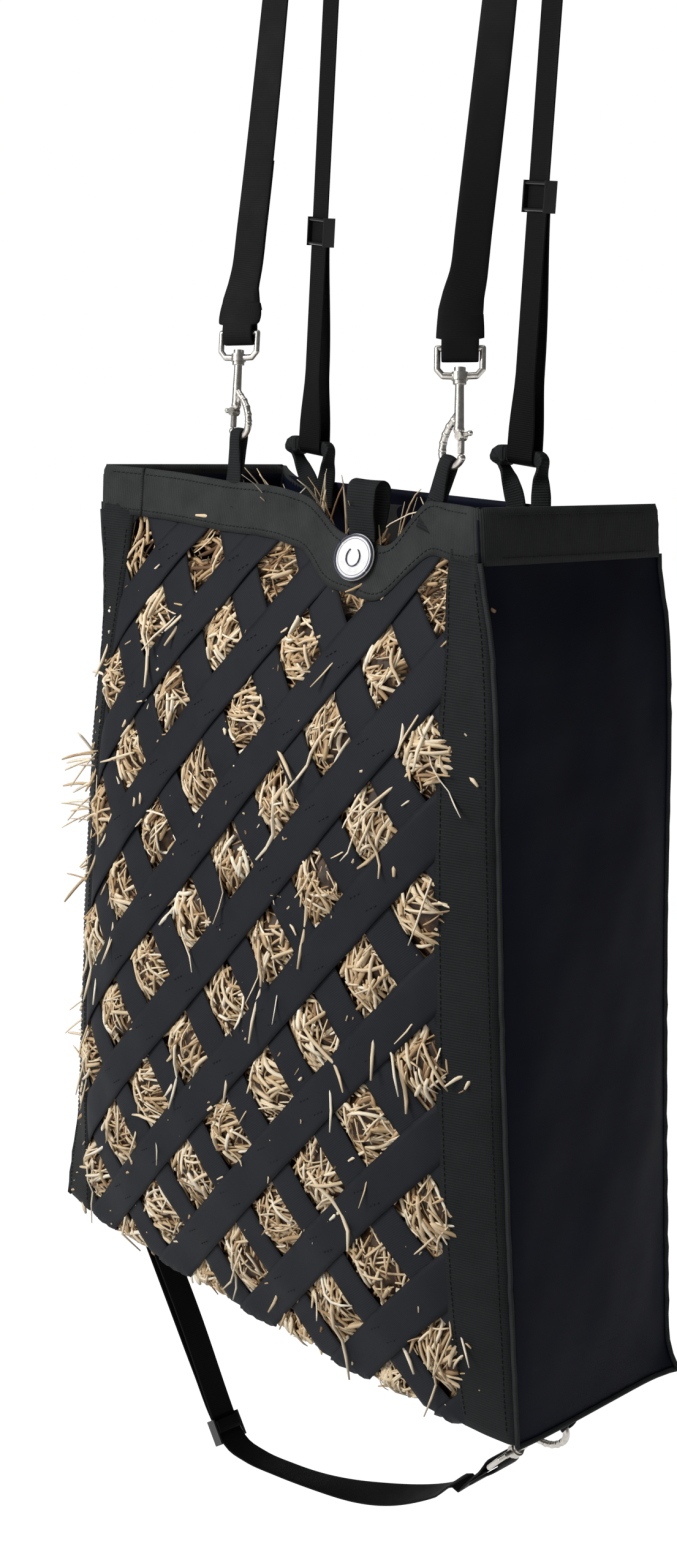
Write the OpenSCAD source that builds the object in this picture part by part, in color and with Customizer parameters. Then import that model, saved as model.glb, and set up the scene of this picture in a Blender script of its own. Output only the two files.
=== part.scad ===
// Slow-feeder hay net: a webbing bag on two adjustable hanging straps.
// Millimetres, +Z up, front towards -Y. The origin is on the axis of the
// hanging rail, midway between the two straps.

/* [Bag] */
// Width of the rim, outside
rim_w = 405; // [380:5:420]
// Depth of the rim from front to back, outside
rim_d = 197; // [190:1:205]
// Width of the base
base_w = 525; // [500:5:540]
// Depth of the base
base_d = 176; // [170:1:185]
// Height of the bag from rim to base
bag_h = 652; // [640:1:660]
// How far the base sits to the right of the rim
base_shift = 20; // [0:1:25]
// Drop from the rail to the rim
rim_drop = 620; // [610:1:640]
// Height of the webbing hem round the rim
hem_h = 38; // [34:1:40]
// Width of the webbing border down each side of the front
border_w = 38; // [32:1:42]
// Depth of the empty space above the hay
mouth_depth = 100; // [90:5:130]

/* [Lattice] */
// Width of the lattice webbing
lattice_w = 30; // [24:1:32]
// Height from one row of holes to the next
row_step = 54; // [50:1:58]
// Distance between columns of holes, as a share of half the width
col_step = 0.2; // [0.18:0.01:0.22]

/* [Hanging straps] */
// Radius of the rail that the straps hang over
rail_r = 15; // [12:1:20]
// Distance between the two straps on the rail
rail_spacing = 220; // [200:5:240]
// Width of the strap webbing
webbing_w = 25; // [23:1:25]
// Thickness of the strap webbing
webbing_t = 2; // [1.8:0.1:2]

/* [Bottom strap] */
// Depth at which the bottom strap hangs, from the middle of the bag
tether_y = -10; // [-14:1:-6]

/* [Hidden] */
$fn = 48;
eps = 0.01;

// Bag: levels run from 0 at the rim to 1 at the base, and across runs from -1 to 1
rim_x = -30;
rim_z = -rim_drop;
cloth_t = 1.4;
gap = 0.3;
levels = [0.0625, 0.15, 0.28, 0.42, 0.56, 0.7, 0.84, 0.93, 0.998];
fill_levels = [mouth_depth / bag_h, 0.24, 0.34, 0.46, 0.58, 0.7, 0.84, 0.93, 0.99];
across = [-1, -0.93, -0.82, -0.66, -0.45, -0.2, 0, 0.2, 0.45, 0.66, 0.82, 0.93, 1];
hem_t = 2.4;
// Outward bow of the front and back at each level, in the middle of their width
front_bow = [[0, -18], [0.05, -16], [0.11, -3], [0.25, 24], [0.5, 40], [0.85, 34], [1, 12]];
rear_bow = [[0, -36], [0.09, -8], [0.3, 12], [0.55, 24], [0.9, 16], [1, 4]];
side_bow = [[0, 0], [0.5, 7], [1, 2]];
// How far the rim dips across the front, in a V, and across the back
max_dip = 33;
front_dip = [
    [-1, 0], [-0.36, 3], [0.09, 8], [0.27, 29], [0.4, max_dip], [0.56, max_dip],
    [0.67, 10], [0.74, 1], [1, 0]];
rear_dip = [[-1, 0], [-0.61, 17], [0, 14], [0.55, 9], [1, 0]];

function mid_x(t) = rim_x + base_shift * t;
function half_w(t) = (rim_w + (base_w - rim_w) * t) / 2;
function half_d(t) = (rim_d + (base_d - rim_d) * t) / 2;
function crown(u) = 1 - pow(abs(u), 4);
function level_z(t) = rim_z - bag_h * t;
function front_y(u, t, out = 0) = -half_d(t) - lookup(t, front_bow) * crown(u) - out;
function rear_y(u, t, out = 0) = half_d(t) + lookup(t, rear_bow) * crown(u) + out;
function front_point(u, t, out = 0) =
    [mid_x(t) + u * half_w(t), front_y(u, t, out), level_z(t)];
function rear_point(u, t, out = 0) =
    [mid_x(t) + u * half_w(t), rear_y(u, t, out), level_z(t)];
function side_point(side, v, t, out = 0) =
    [mid_x(t) + side * (half_w(t) + lookup(t, side_bow) * crown(v) + out),
     v * half_d(t), level_z(t)];

// Two triangles for each cell of a grid of points, clockwise seen from its outside
function grid_faces(rows, cols, first, flip) = [
    for (r = [0 : rows - 2], c = [0 : cols - 2])
        let (a = first + r * cols + c, b = a + 1, d = a + cols, e = d + 1)
        each (flip ? [[a, e, b], [a, d, e]] : [[a, b, e], [a, e, d]])];

// Closed thin solid between two grids: rows run down and columns to the right,
// seen from the outside of the first grid
module slab(outer, inner) {
    rows = len(outer);
    cols = len(outer[0]);
    count = rows * cols;
    rim = concat(
        [for (c = [0 : cols - 1]) c],
        [for (r = [1 : rows - 1]) r * cols + cols - 1],
        [for (c = [cols - 2 : -1 : 0]) (rows - 1) * cols + c],
        [for (r = [rows - 2 : -1 : 1]) r * cols]);
    n = len(rim);
    walls = [
        for (k = [0 : n - 1])
            let (a = rim[k], b = rim[(k + 1) % n])
            each [[b, a, a + count], [b, a + count, b + count]]];
    polyhedron(
        points = concat([for (row = outer) each row], [for (row = inner) each row]),
        faces = concat(
            grid_faces(rows, cols, 0, false),
            grid_faces(rows, cols, count, true),
            walls));
}

// Closed solid through level outlines from top to bottom, each clockwise from above
module loft(rings) {
    n = len(rings[0]);
    last = len(rings) - 1;
    sides = [
        for (r = [0 : last - 1], c = [0 : n - 1])
            let (a = r * n + c, b = r * n + (c + 1) % n)
            each [[b, a, a + n], [b, a + n, b + n]]];
    polyhedron(
        points = [for (ring = rings) each ring],
        faces = concat(
            [[for (c = [0 : n - 1]) c]],
            [[for (c = [n - 1 : -1 : 0]) last * n + c]],
            sides));
}

// Places children at p with their -Z axis pointing to q
module along(p, q) {
    d = (q - p) / norm(q - p);
    translate(p) rotate([asin(d.y), atan2(-d.x, -d.z), 0]) children();
}

// Round rod between two points
module rod(p, q, r) {
    along(p, q) translate([0, 0, -norm(q - p)]) cylinder(r = r, h = norm(q - p));
}

// ---- Bag ----

// Hay outline at one level, clockwise from above, a little inside the cloth
fill_inset = 3;
function fill_ring(t) =
    let (s = 1 - fill_inset / half_w(t), side = [-0.7, -0.35, 0, 0.35, 0.7])
    concat(
        [for (k = [len(across) - 1 : -1 : 0])
            front_point(across[k] * s, t, -fill_inset)],
        [for (v = side) side_point(-1, v, t, -fill_inset)],
        [for (u = across) rear_point(u * s, t, -fill_inset)],
        [for (k = [4 : -1 : 0]) side_point(1, side[k], t, -fill_inset)]);

module hay_fill() {
    color("burlywood") loft([for (t = fill_levels) fill_ring(t)]);
}

module back_panel() {
    back = [for (k = [len(across) - 1 : -1 : 0]) across[k]];
    color("midnightblue") slab(
        [for (t = levels) [for (u = back) rear_point(u, t)]],
        [for (t = levels) [for (u = back) rear_point(u, t, -cloth_t)]]);
}

// Side panel: 1 is the right one and -1 the left one
module gusset(side) {
    edge = 0.96;
    run = [for (v = [-edge, -0.7, -0.35, 0, 0.35, 0.7, edge]) side * v];
    color("midnightblue") slab(
        [for (t = levels) [for (v = run) side_point(side, v, t)]],
        [for (t = levels) [for (v = run) side_point(side, v, t, -cloth_t)]]);
}

// Base, with the two sewn tabs that the bottom strap hangs from
tab_drop = 0.8;
module bottom_panel() {
    z = level_z(1);
    hw = half_w(1) - 1;
    hd = half_d(1) - 1;
    color("midnightblue") union() {
        translate([mid_x(1) - hw, -hd, z]) cube([2 * hw, 2 * hd, cloth_t - 0.3]);
        for (x = [swing_left.x, swing_right.x])
            translate([x - 4, tether_y - 12, z - tab_drop]) cube([8, 24, tab_drop + eps]);
    }
}

// Hem along the front or the back, following the dip of the rim
module long_hem(is_front) {
    run = [-0.985, -0.8, -0.6, -0.36, 0.09, 0.27, 0.4, 0.56, 0.67, 0.74, 0.85, 0.985];
    t = 0;
    dip = is_front ? front_dip : rear_dip;
    us = is_front ? run : [for (k = [len(run) - 1 : -1 : 0]) run[k]];
    function hem_point(u, down, out) =
        let (p = is_front ? front_point(u, t, out) : rear_point(u, t, out))
        [p.x, p.y, rim_z - lookup(u, dip) - down];
    color("dimgray") slab(
        [for (down = [0, hem_h]) [for (u = us) hem_point(u, down, hem_t / 2)]],
        [for (down = [0, hem_h]) [for (u = us) hem_point(u, down, -hem_t / 2)]]);
}

module side_hem(side) {
    run = [for (v = [-0.95, -0.4, 0, 0.4, 0.95]) side * v];
    hem_end = hem_h / bag_h;
    color("dimgray") slab(
        [for (t = [0, hem_end]) [for (v = run) side_point(side, v, t, hem_t / 2)]],
        [for (t = [0, hem_end]) [for (v = run) side_point(side, v, t, -hem_t / 2)]]);
}

// Border webbing down one side of the front
module border(side) {
    inner_edge = 1 - border_w / half_w(0.5);
    run = side > 0 ? [inner_edge, 0.9, 0.955, 0.995] : [-0.995, -0.955, -0.9, -inner_edge];
    color("dimgray") slab(
        [for (t = levels) [for (u = run) front_point(u, t, 1.2)]],
        [for (t = levels) [for (u = run) front_point(u, t, -0.8)]]);
}

// ---- Lattice ----
// Holes lie where column + row is even, so straps run where the sum or the
// difference is odd. Column 0 is the right-hand one and row 0 the top one.
first_u = 0.81;
first_v = 62;
lattice_t = 1.2;
// Half the strap's width, across and down
mean_col = col_step * half_w(0.5);
slant = norm([mean_col, row_step]);
edge_x = lattice_w / 2 * row_step / slant;
edge_z = lattice_w / 2 * mean_col / slant;
limit_u = 1 - border_w / half_w(0.5) - edge_x / half_w(0.5) - 0.006;
low_col = (-limit_u - first_u) / col_step;
high_col = (limit_u - first_u) / col_step;
low_row = (max_dip + hem_h + edge_z + 2 - first_v) / row_step;
high_row = (bag_h - edge_z - 5 - first_v) / row_step;

function lattice_point(i, j, side, rise, out) =
    let (
        v = first_v + j * row_step - side * edge_z * rise,
        t = v / bag_h,
        u = first_u + i * col_step + side * edge_x / half_w(t))
    front_point(u, t, out);

// One strap: rise is 1 if it climbs to the right and -1 if it falls
module lattice_strap(k, rise, out) {
    i0 = rise > 0 ? max(low_col, k - high_row) : max(low_col, k + low_row);
    i1 = rise > 0 ? min(high_col, k - low_row) : min(high_col, k + high_row);
    n = ceil((i1 - i0) / 0.5);
    if (i1 - i0 > 0.4) {
        stops = [for (m = [0 : n]) i0 + (i1 - i0) * m / n];
        rows = rise > 0 ? [for (i = stops) k - i] : [for (i = stops) i - k];
        sides = [1, -1];
        slab(
            [for (s = sides) [for (m = [0 : n])
                lattice_point(stops[m], rows[m], -s * rise, -rise, out + lattice_t)]],
            [for (s = sides) [for (m = [0 : n])
                lattice_point(stops[m], rows[m], -s * rise, -rise, out)]]);
    }
}

module rising_straps() {
    color("darkslategray") for (k = [-7 : 2 : 9]) lattice_strap(k, 1, 3.4);
}

module falling_straps() {
    color("darkslategray") for (k = [-17 : 2 : 1]) lattice_strap(k, -1, 0.9);
}

// ---- Snap hook, in its own frame: the strap comes from +Z and the hook hangs to -Z ----
wire_r = 2.6;
eye_r = 2.1;
eye_half = 15.3;
collar_top = -16;
collar_low = -21.5;
post_r = 2.5;
hook_c = [-5.5, 0, -69];
hook_r = 9.5;
gate_c = [2.2, 0, -59];
gate_end = -70.8;
pin_r = 1;
// From the middle of the eye's bar to the middle of the wire at the hook's bottom
snap_len = hook_r - hook_c.z;

module snap_eye() {
    color("silver") difference() {
        union() {
            rod([-eye_half, 0, 0], [eye_half, 0, 0], eye_r);
            for (s = [-1, 1]) {
                translate([s * eye_half, 0, 0]) sphere(r = eye_r);
                rod([s * eye_half, 0, 0], [s * eye_half, 0, -14], eye_r);
                translate([s * eye_half, 0, -14]) sphere(r = eye_r);
                rod([s * eye_half, 0, -14], [s * 11.5, 0, -18.3], eye_r);
                translate([s * 11.5, 0, -18.3]) sphere(r = eye_r);
                rod([s * 11.5, 0, -18.3], [s * 4, 0, -18.6], eye_r + 0.2);
            }
            translate([0, 0, collar_low]) cylinder(r = 5.5, h = collar_top - collar_low);
        }
        translate([0, 0, collar_low - 1]) cylinder(r = post_r + 0.08, h = 12);
        translate([0, 0, collar_top]) cylinder(r = 4.4, h = 5);
    }
}

module along_y(r, h) {
    rotate([90, 0, 0]) cylinder(r = r, h = h, center = true);
}

module snap_hook() {
    shank_low = [0, 0, -54.5];
    arc_start = 180;
    arc_end = 330;
    neck = [
        [-0.5, 0, -43], [-4.5, 0, -47.5], [-8.8, 0, -51.5], [-12.2, 0, -56.5],
        [-14.3, 0, -62], [-15, 0, -67], [-15, 0, -69.5]];
    nose = hook_c + hook_r * [cos(arc_end), 0, sin(arc_end)];
    open_wedge = [[0, 0], for (a = [arc_end : 23 : arc_start + 360]) 20 * [cos(a), sin(a)]];
    color("silver") difference() {
        union() {
            translate([0, 0, -15.85]) cylinder(r = 3.9, h = 3);
            translate([0, 0, -24]) cylinder(r = post_r, h = 9);
            translate([0, 0, -24]) cylinder(r = 4.5, h = 2.3);
            translate([0, 0, shank_low.z]) cylinder(r1 = 3.4, r2 = 2.9, h = 31);
            translate(shank_low) sphere(r = 3.7);
            for (k = [0 : len(neck) - 2]) {
                rod(neck[k], neck[k + 1], wire_r - 0.15);
                translate(neck[k + 1]) sphere(r = wire_r + 0.15);
            }
            rod([-3.5, 0, -48.5], shank_low + [0, 0, 0.5], 2.2);
            translate(hook_c) rotate([90, 0, 0]) difference() {
                rotate_extrude() translate([hook_r, 0]) circle(r = wire_r);
                linear_extrude(10, center = true) polygon(open_wedge);
            }
            translate(nose) sphere(r = wire_r + 0.15);
            for (s = [-1, 1]) {
                translate(gate_c + [0, s * 2.85, 0]) along_y(3, 1.3);
                rod(shank_low + [0, s * 2.2, -1], gate_c + [-0.6, s * 2.8, 0.8], 0.6);
            }
        }
        translate(gate_c) along_y(2.8, 4.4);
        translate(gate_c) along_y(pin_r, 9);
    }
}

module snap_gate() {
    color("gainsboro") difference() {
        union() {
            translate(gate_c) along_y(2.4, 4);
            translate([gate_c.x - 1.6, -1.6, gate_end]) cube([3.2, 3.2, gate_c.z - gate_end]);
            rod(gate_c + [1, 0, 0.3], gate_c + [8, 0, 1.2], 1.6);
            translate(gate_c + [8, 0, 1.2]) sphere(r = 1.9);
        }
        translate(gate_c) along_y(pin_r + 0.06, 9);
    }
}

module snap_pin() {
    color("gray") translate(gate_c) along_y(pin_r, 7);
}

// Sewn end of the strap, folded round the eye's bar, up to end_top
fold_r = 2.2;
end_top = 24;
module strap_end() {
    color("black") difference() {
        union() {
            rotate([0, 90, 0]) cylinder(r = fold_r + webbing_t, h = webbing_w, center = true);
            translate([-webbing_w / 2, -webbing_t, 0]) cube([webbing_w, 2 * webbing_t, end_top]);
        }
        rotate([0, 90, 0]) cylinder(r = fold_r, h = webbing_w + 2, center = true);
    }
}

// Webbing loop that the hook hangs in: two legs and a round top, legs reach down by leg
loop_w = 10;
loop_in = 3.3;
loop_t = 2.3;
// lean turns the loop round the hook
module hook_loop(leg, lean = 0) {
    color("black") translate(hook_c) rotate([0, lean, 0])
            translate([-loop_w / 2, 0, -4.4 - loop_in]) {
        difference() {
            rotate([0, 90, 0]) cylinder(r = loop_in + loop_t, h = loop_w);
            translate([-1, 0, 0]) rotate([0, 90, 0]) cylinder(r = loop_in, h = loop_w + 2);
            translate([-1, -10, -20]) cube([loop_w + 2, 20, 20]);
        }
        for (s = [-1, 1])
            translate([0, s * (loop_in + loop_t / 2) - loop_t / 2, -leg])
                cube([loop_w, loop_t, leg + eps]);
    }
}

// ---- Hanging straps ----
// Middle of the hook's bottom wire, and of the bar of webbing that the back leg turns on
left_hook = [-98.7, -76, -590.5];
right_hook = [138.3, -81.9, -595];
// Point that each snap's eye bar lies near; the snap hangs out of line with its strap
left_eye = [-106.4, -68.1, -513];
right_eye = [125.6, -73.4, -518];
left_lean = -4;
right_lean = 24;
kink_gap = 2.4;
left_hitch = [-157, 63, -600];
right_hitch = [73, 63, -593];
hitch_bar = 4.5;
turn_r = hitch_bar + 0.3 + webbing_t / 2;
mid_r = rail_r + webbing_t / 2;
strap_x = rail_spacing / 2;
// Turn of each snap's eye and of its hook about the strap's line
left_turns = [20, 180];
right_turns = [40, 0];
// The back leg is turned about its own line, but for a short flat run at each end
rear_turn = -16;
turn_top = 9;
rail_flat = 18;
return_low = turn_top + 1.4;
// Slider height above the hitch, and how far the slider stands from the strap
slider_up = [172, 186];
bar_r = 1.4;
bar_off = 4.2;
return_off = 2.3;

// Where a strap from point p leaves the rail: side is -1 in front and 1 behind
function leave_rail(p, side, x) =
    let (
        dist = norm([p.y, p.z]),
        swing = acos(mid_r / dist),
        base = atan2(p.z, p.y),
        a = side > 0 ? base + swing : base - swing)
    [x, mid_r * cos(a), mid_r * sin(a)];

function unit(v) = v / norm(v);
function eye_point(hook, eye) = hook + unit(eye - hook) * snap_len;
function main_low(hitch) = hitch + [0, -turn_r, 0];
function main_dir(hitch, x) = unit(leave_rail(hitch, 1, x) - main_low(hitch));
function slider_point(hitch, x, up) = main_low(hitch) + main_dir(hitch, x) * up;
function across_rim(x) = (x - mid_x(0)) / half_w(0);

// Straight flat run of webbing from p to q, turned about its own line
module run(p, q, w, t, turn = 0) {
    len_pq = norm(q - p);
    along(p, q) rotate([0, 0, turn]) translate([-w / 2, -t / 2, -len_pq]) cube([w, t, len_pq]);
}

// One strap over the rail at x: front leg to the snap, back leg to the hitch
module hanging_strap(hook, near, hitch, x) {
    eye = eye_point(hook, near);
    front_top = leave_rail(eye, -1, x);
    rear_top = leave_rail(hitch, 1, x);
    front_low = eye + unit(front_top - eye) * (end_top + kink_gap);
    color("black") union() {
        difference() {
            translate([x, 0, 0]) rotate([0, 90, 0])
                cylinder(r = rail_r + webbing_t, h = webbing_w, center = true);
            translate([x, 0, 0]) rotate([0, 90, 0])
                cylinder(r = rail_r, h = webbing_w + 2, center = true);
            translate([x - webbing_w, -40, -41.5]) cube([2 * webbing_w, 80, 40]);
        }
        run(front_top, front_low, webbing_w, webbing_t);
        run(rear_top, rear_top - main_dir(hitch, x) * rail_flat, webbing_w, webbing_t);
        run(rear_top - main_dir(hitch, x) * (rail_flat - 1),
            main_low(hitch) + main_dir(hitch, x) * (turn_top - 1),
            webbing_w, webbing_t, rear_turn);
        run(main_low(hitch) + main_dir(hitch, x) * turn_top, main_low(hitch),
            webbing_w, webbing_t);
        run(hitch + [0, turn_r, turn_top], hitch + [0, turn_r, 0], webbing_w, webbing_t);
        translate(hitch) difference() {
            rotate([0, 90, 0])
                cylinder(r = turn_r + webbing_t / 2, h = webbing_w, center = true);
            rotate([0, 90, 0])
                cylinder(r = turn_r - webbing_t / 2, h = webbing_w + 2, center = true);
            translate([-webbing_w, -20, 0]) cube([2 * webbing_w, 40, 20]);
        }
    }
}

// Doubled run from the hitch up to the slider, behind the strap
slider_low = 12.5;
module strap_return(hitch, x, up) {
    offset = return_off * [-sin(rear_turn), cos(rear_turn), 0];
    top = slider_point(hitch, x, up - slider_low - gap) + offset;
    color("black")
        run(top, hitch + [0, turn_r, return_low], webbing_w, webbing_t, rear_turn);
}

// Three-bar slider in the strap's own frame: outer bars in front, middle bar behind
module slider() {
    rail_in = webbing_w / 2 + 0.4;
    plate = 1.7;
    outer_bar = 1.2;
    color("dimgray") union() {
        for (z = [-9.2, 9.2])
            translate([0, -(webbing_t / 2 + gap + outer_bar), z]) rotate([0, 90, 0])
                cylinder(r = outer_bar, h = 2 * rail_in + 1, center = true);
        translate([0, bar_off, 0]) rotate([0, 90, 0])
            cylinder(r = bar_r, h = 2 * rail_in + 1, center = true);
        for (s = [-1, 1])
            translate([s * (rail_in + plate / 2) - plate / 2, -4, -11.2])
                cube([plate, 10, 22.4]);
    }
}

// Webbing end sewn round the slider's middle bar
module slider_fold() {
    fold_t = 1.4;
    color("black") difference() {
        union() {
            translate([0, bar_off, 0]) rotate([0, 90, 0])
                cylinder(r = bar_r + fold_t, h = webbing_w, center = true);
            translate([-webbing_w / 2, return_off - webbing_t / 2, -slider_low])
                cube([webbing_w, webbing_t, slider_low]);
        }
        translate([0, bar_off, 0]) rotate([0, 90, 0])
            cylinder(r = bar_r + 0.05, h = webbing_w + 2, center = true);
    }
}

module on_slider(hitch, x, up) {
    along(slider_point(hitch, x, up), main_low(hitch)) rotate([0, 0, rear_turn]) children();
}

module at_snap(hook, near, turn) {
    along(eye_point(hook, near), hook) rotate([0, 0, turn]) children();
}

// Arch of webbing sewn to the back of the rim, with a gathered top that the strap turns on
// and a knot at its left end
module rear_loop(hitch) {
    half = webbing_w / 2 + 0.7;
    leg_t = 3;
    knot = 9;
    color("black") union() {
        translate(hitch) rotate([0, 90, 0])
            cylinder(r = hitch_bar, h = 2 * (half + leg_t), center = true);
        translate(hitch - [half + leg_t + knot, 0, 0]) rotate([0, 90, 0])
            cylinder(r = 8, h = knot + 1);
        for (s = [-1, 1]) {
            leg_x = hitch.x + s * (half + leg_t / 2);
            foot = rim_z - lookup(across_rim(leg_x), rear_dip) + 2 * gap;
            translate([leg_x - leg_t / 2, hitch.y - 5, foot]) cube([leg_t, 10, hitch.z - foot]);
        }
    }
}

// Loop at the middle of the front rim, for pulling the mouth open, astride the hem
centre_x = 56;
centre_y = -81.6;
centre_foot = rim_z - 38;
centre_top = 48;
module centre_loop() {
    outer_r = 6;
    loop_wall = 2.5;
    straight = centre_top - outer_r;
    color("black") translate([centre_x, centre_y, centre_foot]) difference() {
        union() {
            translate([-webbing_w / 2, -outer_r, 0])
                cube([webbing_w, 2 * outer_r, straight]);
            translate([0, 0, straight]) rotate([0, 90, 0])
                cylinder(r = outer_r, h = webbing_w, center = true);
        }
        translate([-webbing_w, loop_wall - outer_r, -1])
            cube([2 * webbing_w, 2 * (outer_r - loop_wall), straight + 1]);
        translate([0, 0, straight]) rotate([0, 90, 0])
            cylinder(r = outer_r - loop_wall, h = 2 * webbing_w, center = true);
    }
}

// Round sewn label below the middle loop, with plain raised rings
label_r = 17;
label_c = [54, -92.4, -665.5];
label_turn = 10;
module label_disc() {
    color("whitesmoke") translate(label_c) rotate([0, 0, label_turn]) union() {
        along_y(label_r, 2.4);
        translate([0, -1.4, 0]) difference() {
            along_y(label_r - 0.4, 0.8);
            along_y(label_r - 2, 2);
        }
    }
}

// ---- Bottom strap ----
// It swings about a line along X between its two seams
swing_z = level_z(1) - 5.5;
swing_left = [-266, tether_y, swing_z];
swing_r = 2;
tether_start = [-255, tether_y, -1317];
tether_low = [-128, tether_y, -1484];
tether_hook = [233, tether_y, -1290];
tether_eye = [183, tether_y, -1349];
tether_bar = 2.6;
tether_turn_r = tether_bar + gap + webbing_t / 2;
// Distance of the slider down the left leg
tether_slide_at = 196;
tether_leg = unit(tether_low - tether_start);
tether_side = [-tether_leg.z, 0, tether_leg.x];
tether_turn = tether_start + tether_side * tether_turn_r;
tether_slider_c = tether_start + tether_leg * tether_slide_at;
tether_pull = unit(tether_hook - tether_eye);
tether_bottom = tether_eye + tether_pull * snap_len;
tether_end_c = tether_eye - tether_pull * (end_top + gap);
// Route of the strap from its left turn to the snap, as x and z
tether_route = [
    [-255, -1317], [-128, -1484], [-98, -1482], [-58, -1476], [-10, -1465], [40, -1449],
    [88, -1427], [125, -1404], [148, -1386]];
// Middle of the right loop where it holds the wire, and its seam above
tether_across = [tether_pull.z, 0, -tether_pull.x];
tether_bearing = tether_bottom + tether_across * -hook_c.x;
swing_right = tether_bearing + tether_pull * ((swing_z - tether_bearing.z) / tether_pull.z);

// Flat ribbon that follows a route in the XZ plane
module ribbon(route, w, t) {
    n = len(route) - 1;
    function heading(k) = unit(route[min(k + 1, n)] - route[max(k - 1, 0)]);
    function left_of(k) = [-heading(k).y, heading(k).x];
    upper = [for (k = [0 : n]) route[k] + t / 2 * left_of(k)];
    lower = [for (k = [n : -1 : 0]) route[k] - t / 2 * left_of(k)];
    translate([0, tether_y + w / 2, 0]) rotate([90, 0, 0])
        linear_extrude(w) polygon(concat(upper, lower));
}

module tether_strap() {
    end = [tether_end_c.x, tether_end_c.z];
    color("black") union() {
        ribbon(concat(tether_route, [end]), webbing_w, webbing_t);
        along(tether_turn, tether_turn + tether_leg) difference() {
            along_y(tether_turn_r + webbing_t / 2, webbing_w);
            along_y(tether_turn_r - webbing_t / 2, webbing_w + 2);
            translate([-20, -webbing_w, -20]) cube([40, 2 * webbing_w, 20]);
        }
    }
}

module on_tether_leg() {
    along(tether_slider_c, tether_start) rotate([0, 0, 90]) children();
}

module tether_return() {
    near_slider = tether_slide_at - slider_low - gap;
    color("black") run(
        tether_start + tether_leg * near_slider + tether_side * return_off,
        tether_turn + tether_side * tether_turn_r + tether_leg * gap,
        webbing_t, webbing_w);
}

module at_tether_snap(turn) {
    along(tether_eye, tether_hook) rotate([0, 0, turn]) children();
}

// Sewn loop on the left that the strap turns through, pivoting at its seam, with a leg
// on each side of the strap
module tether_left_loop() {
    drop = norm(tether_turn - swing_left);
    neck = 8;
    half = webbing_w / 2 + 0.7;
    leg_t = 2.2;
    shoulder = drop - tether_turn_r - webbing_t / 2 - 2 * gap;
    color("black") union() {
        translate(swing_left) rotate([0, 90, 0])
            cylinder(r = swing_r, h = 8, center = true);
        along(swing_left, tether_turn) {
            translate([-1.5, -4, -neck - eps]) cube([3, 8, neck]);
            translate([-1.5, -half - leg_t, -shoulder])
                cube([3, 2 * (half + leg_t), shoulder - neck]);
            for (s = [-1, 1])
                translate([-1.5, s * (half + leg_t / 2) - leg_t / 2, -drop])
                    cube([3, leg_t, drop - neck]);
        }
        translate(tether_turn) along_y(tether_bar, 2 * (half + leg_t));
    }
}

// Sewn loop on the right that the snap holds, pivoting at its seam
module tether_right_loop() {
    neck = 7;
    color("black") union() {
        translate(swing_right) rotate([0, 90, 0])
            cylinder(r = swing_r, h = 8, center = true);
        along(swing_right - tether_pull * neck, swing_right) {
            translate([-3, -5.6, -3]) cube([6, 11.2, 2.5]);
            translate([-2, -2, -neck]) cube([4, 4, neck - 1]);
        }
        at_tether_snap(0) hook_loop(norm(swing_right - tether_bearing) - 2.2);
    }
}

hay_fill();
back_panel();
gusset(-1);  // left_gusset
gusset(1);  // right_gusset
bottom_panel();
long_hem(true);  // front_hem
long_hem(false);  // rear_hem
side_hem(-1);  // left_hem
side_hem(1);  // right_hem
border(-1);  // left_border
border(1);  // right_border
rising_straps();
falling_straps();
at_snap(left_hook, left_eye, left_turns[1]) hook_loop(43, left_lean);  // front_left_loop
at_snap(right_hook, right_eye, right_turns[1]) hook_loop(37, right_lean);  // front_right_loop
rear_loop(left_hitch);  // rear_left_loop
rear_loop(right_hitch);  // rear_right_loop
centre_loop();
label_disc();

hanging_strap(left_hook, left_eye, left_hitch, -strap_x);  // left_strap
strap_return(left_hitch, -strap_x, slider_up[0]);  // left_return
at_snap(left_hook, left_eye, left_turns[0]) strap_end();  // left_strap_end
at_snap(left_hook, left_eye, left_turns[0]) snap_eye();  // left_snap_eye
at_snap(left_hook, left_eye, left_turns[1]) snap_hook();  // left_snap_hook
at_snap(left_hook, left_eye, left_turns[1]) snap_gate();  // left_gate
at_snap(left_hook, left_eye, left_turns[1]) snap_pin();  // left_gate_pin
on_slider(left_hitch, -strap_x, slider_up[0]) slider();  // left_slider
on_slider(left_hitch, -strap_x, slider_up[0]) slider_fold();  // left_slider_fold

hanging_strap(right_hook, right_eye, right_hitch, strap_x);  // right_strap
strap_return(right_hitch, strap_x, slider_up[1]);  // right_return
at_snap(right_hook, right_eye, right_turns[0]) strap_end();  // right_strap_end
at_snap(right_hook, right_eye, right_turns[0]) snap_eye();  // right_snap_eye
at_snap(right_hook, right_eye, right_turns[1]) snap_hook();  // right_snap_hook
at_snap(right_hook, right_eye, right_turns[1]) snap_gate();  // right_gate
at_snap(right_hook, right_eye, right_turns[1]) snap_pin();  // right_gate_pin
on_slider(right_hitch, strap_x, slider_up[1]) slider();  // right_slider
on_slider(right_hitch, strap_x, slider_up[1]) slider_fold();  // right_slider_fold

tether_strap();
tether_return();
at_tether_snap(90) strap_end();  // tether_end
at_tether_snap(90) snap_eye();  // tether_snap_eye
at_tether_snap(0) snap_hook();  // tether_snap_hook
at_tether_snap(0) snap_gate();  // tether_gate
at_tether_snap(0) snap_pin();  // tether_gate_pin
on_tether_leg() slider();  // tether_slider
on_tether_leg() slider_fold();  // tether_slider_fold
tether_left_loop();
tether_right_loop();
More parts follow.
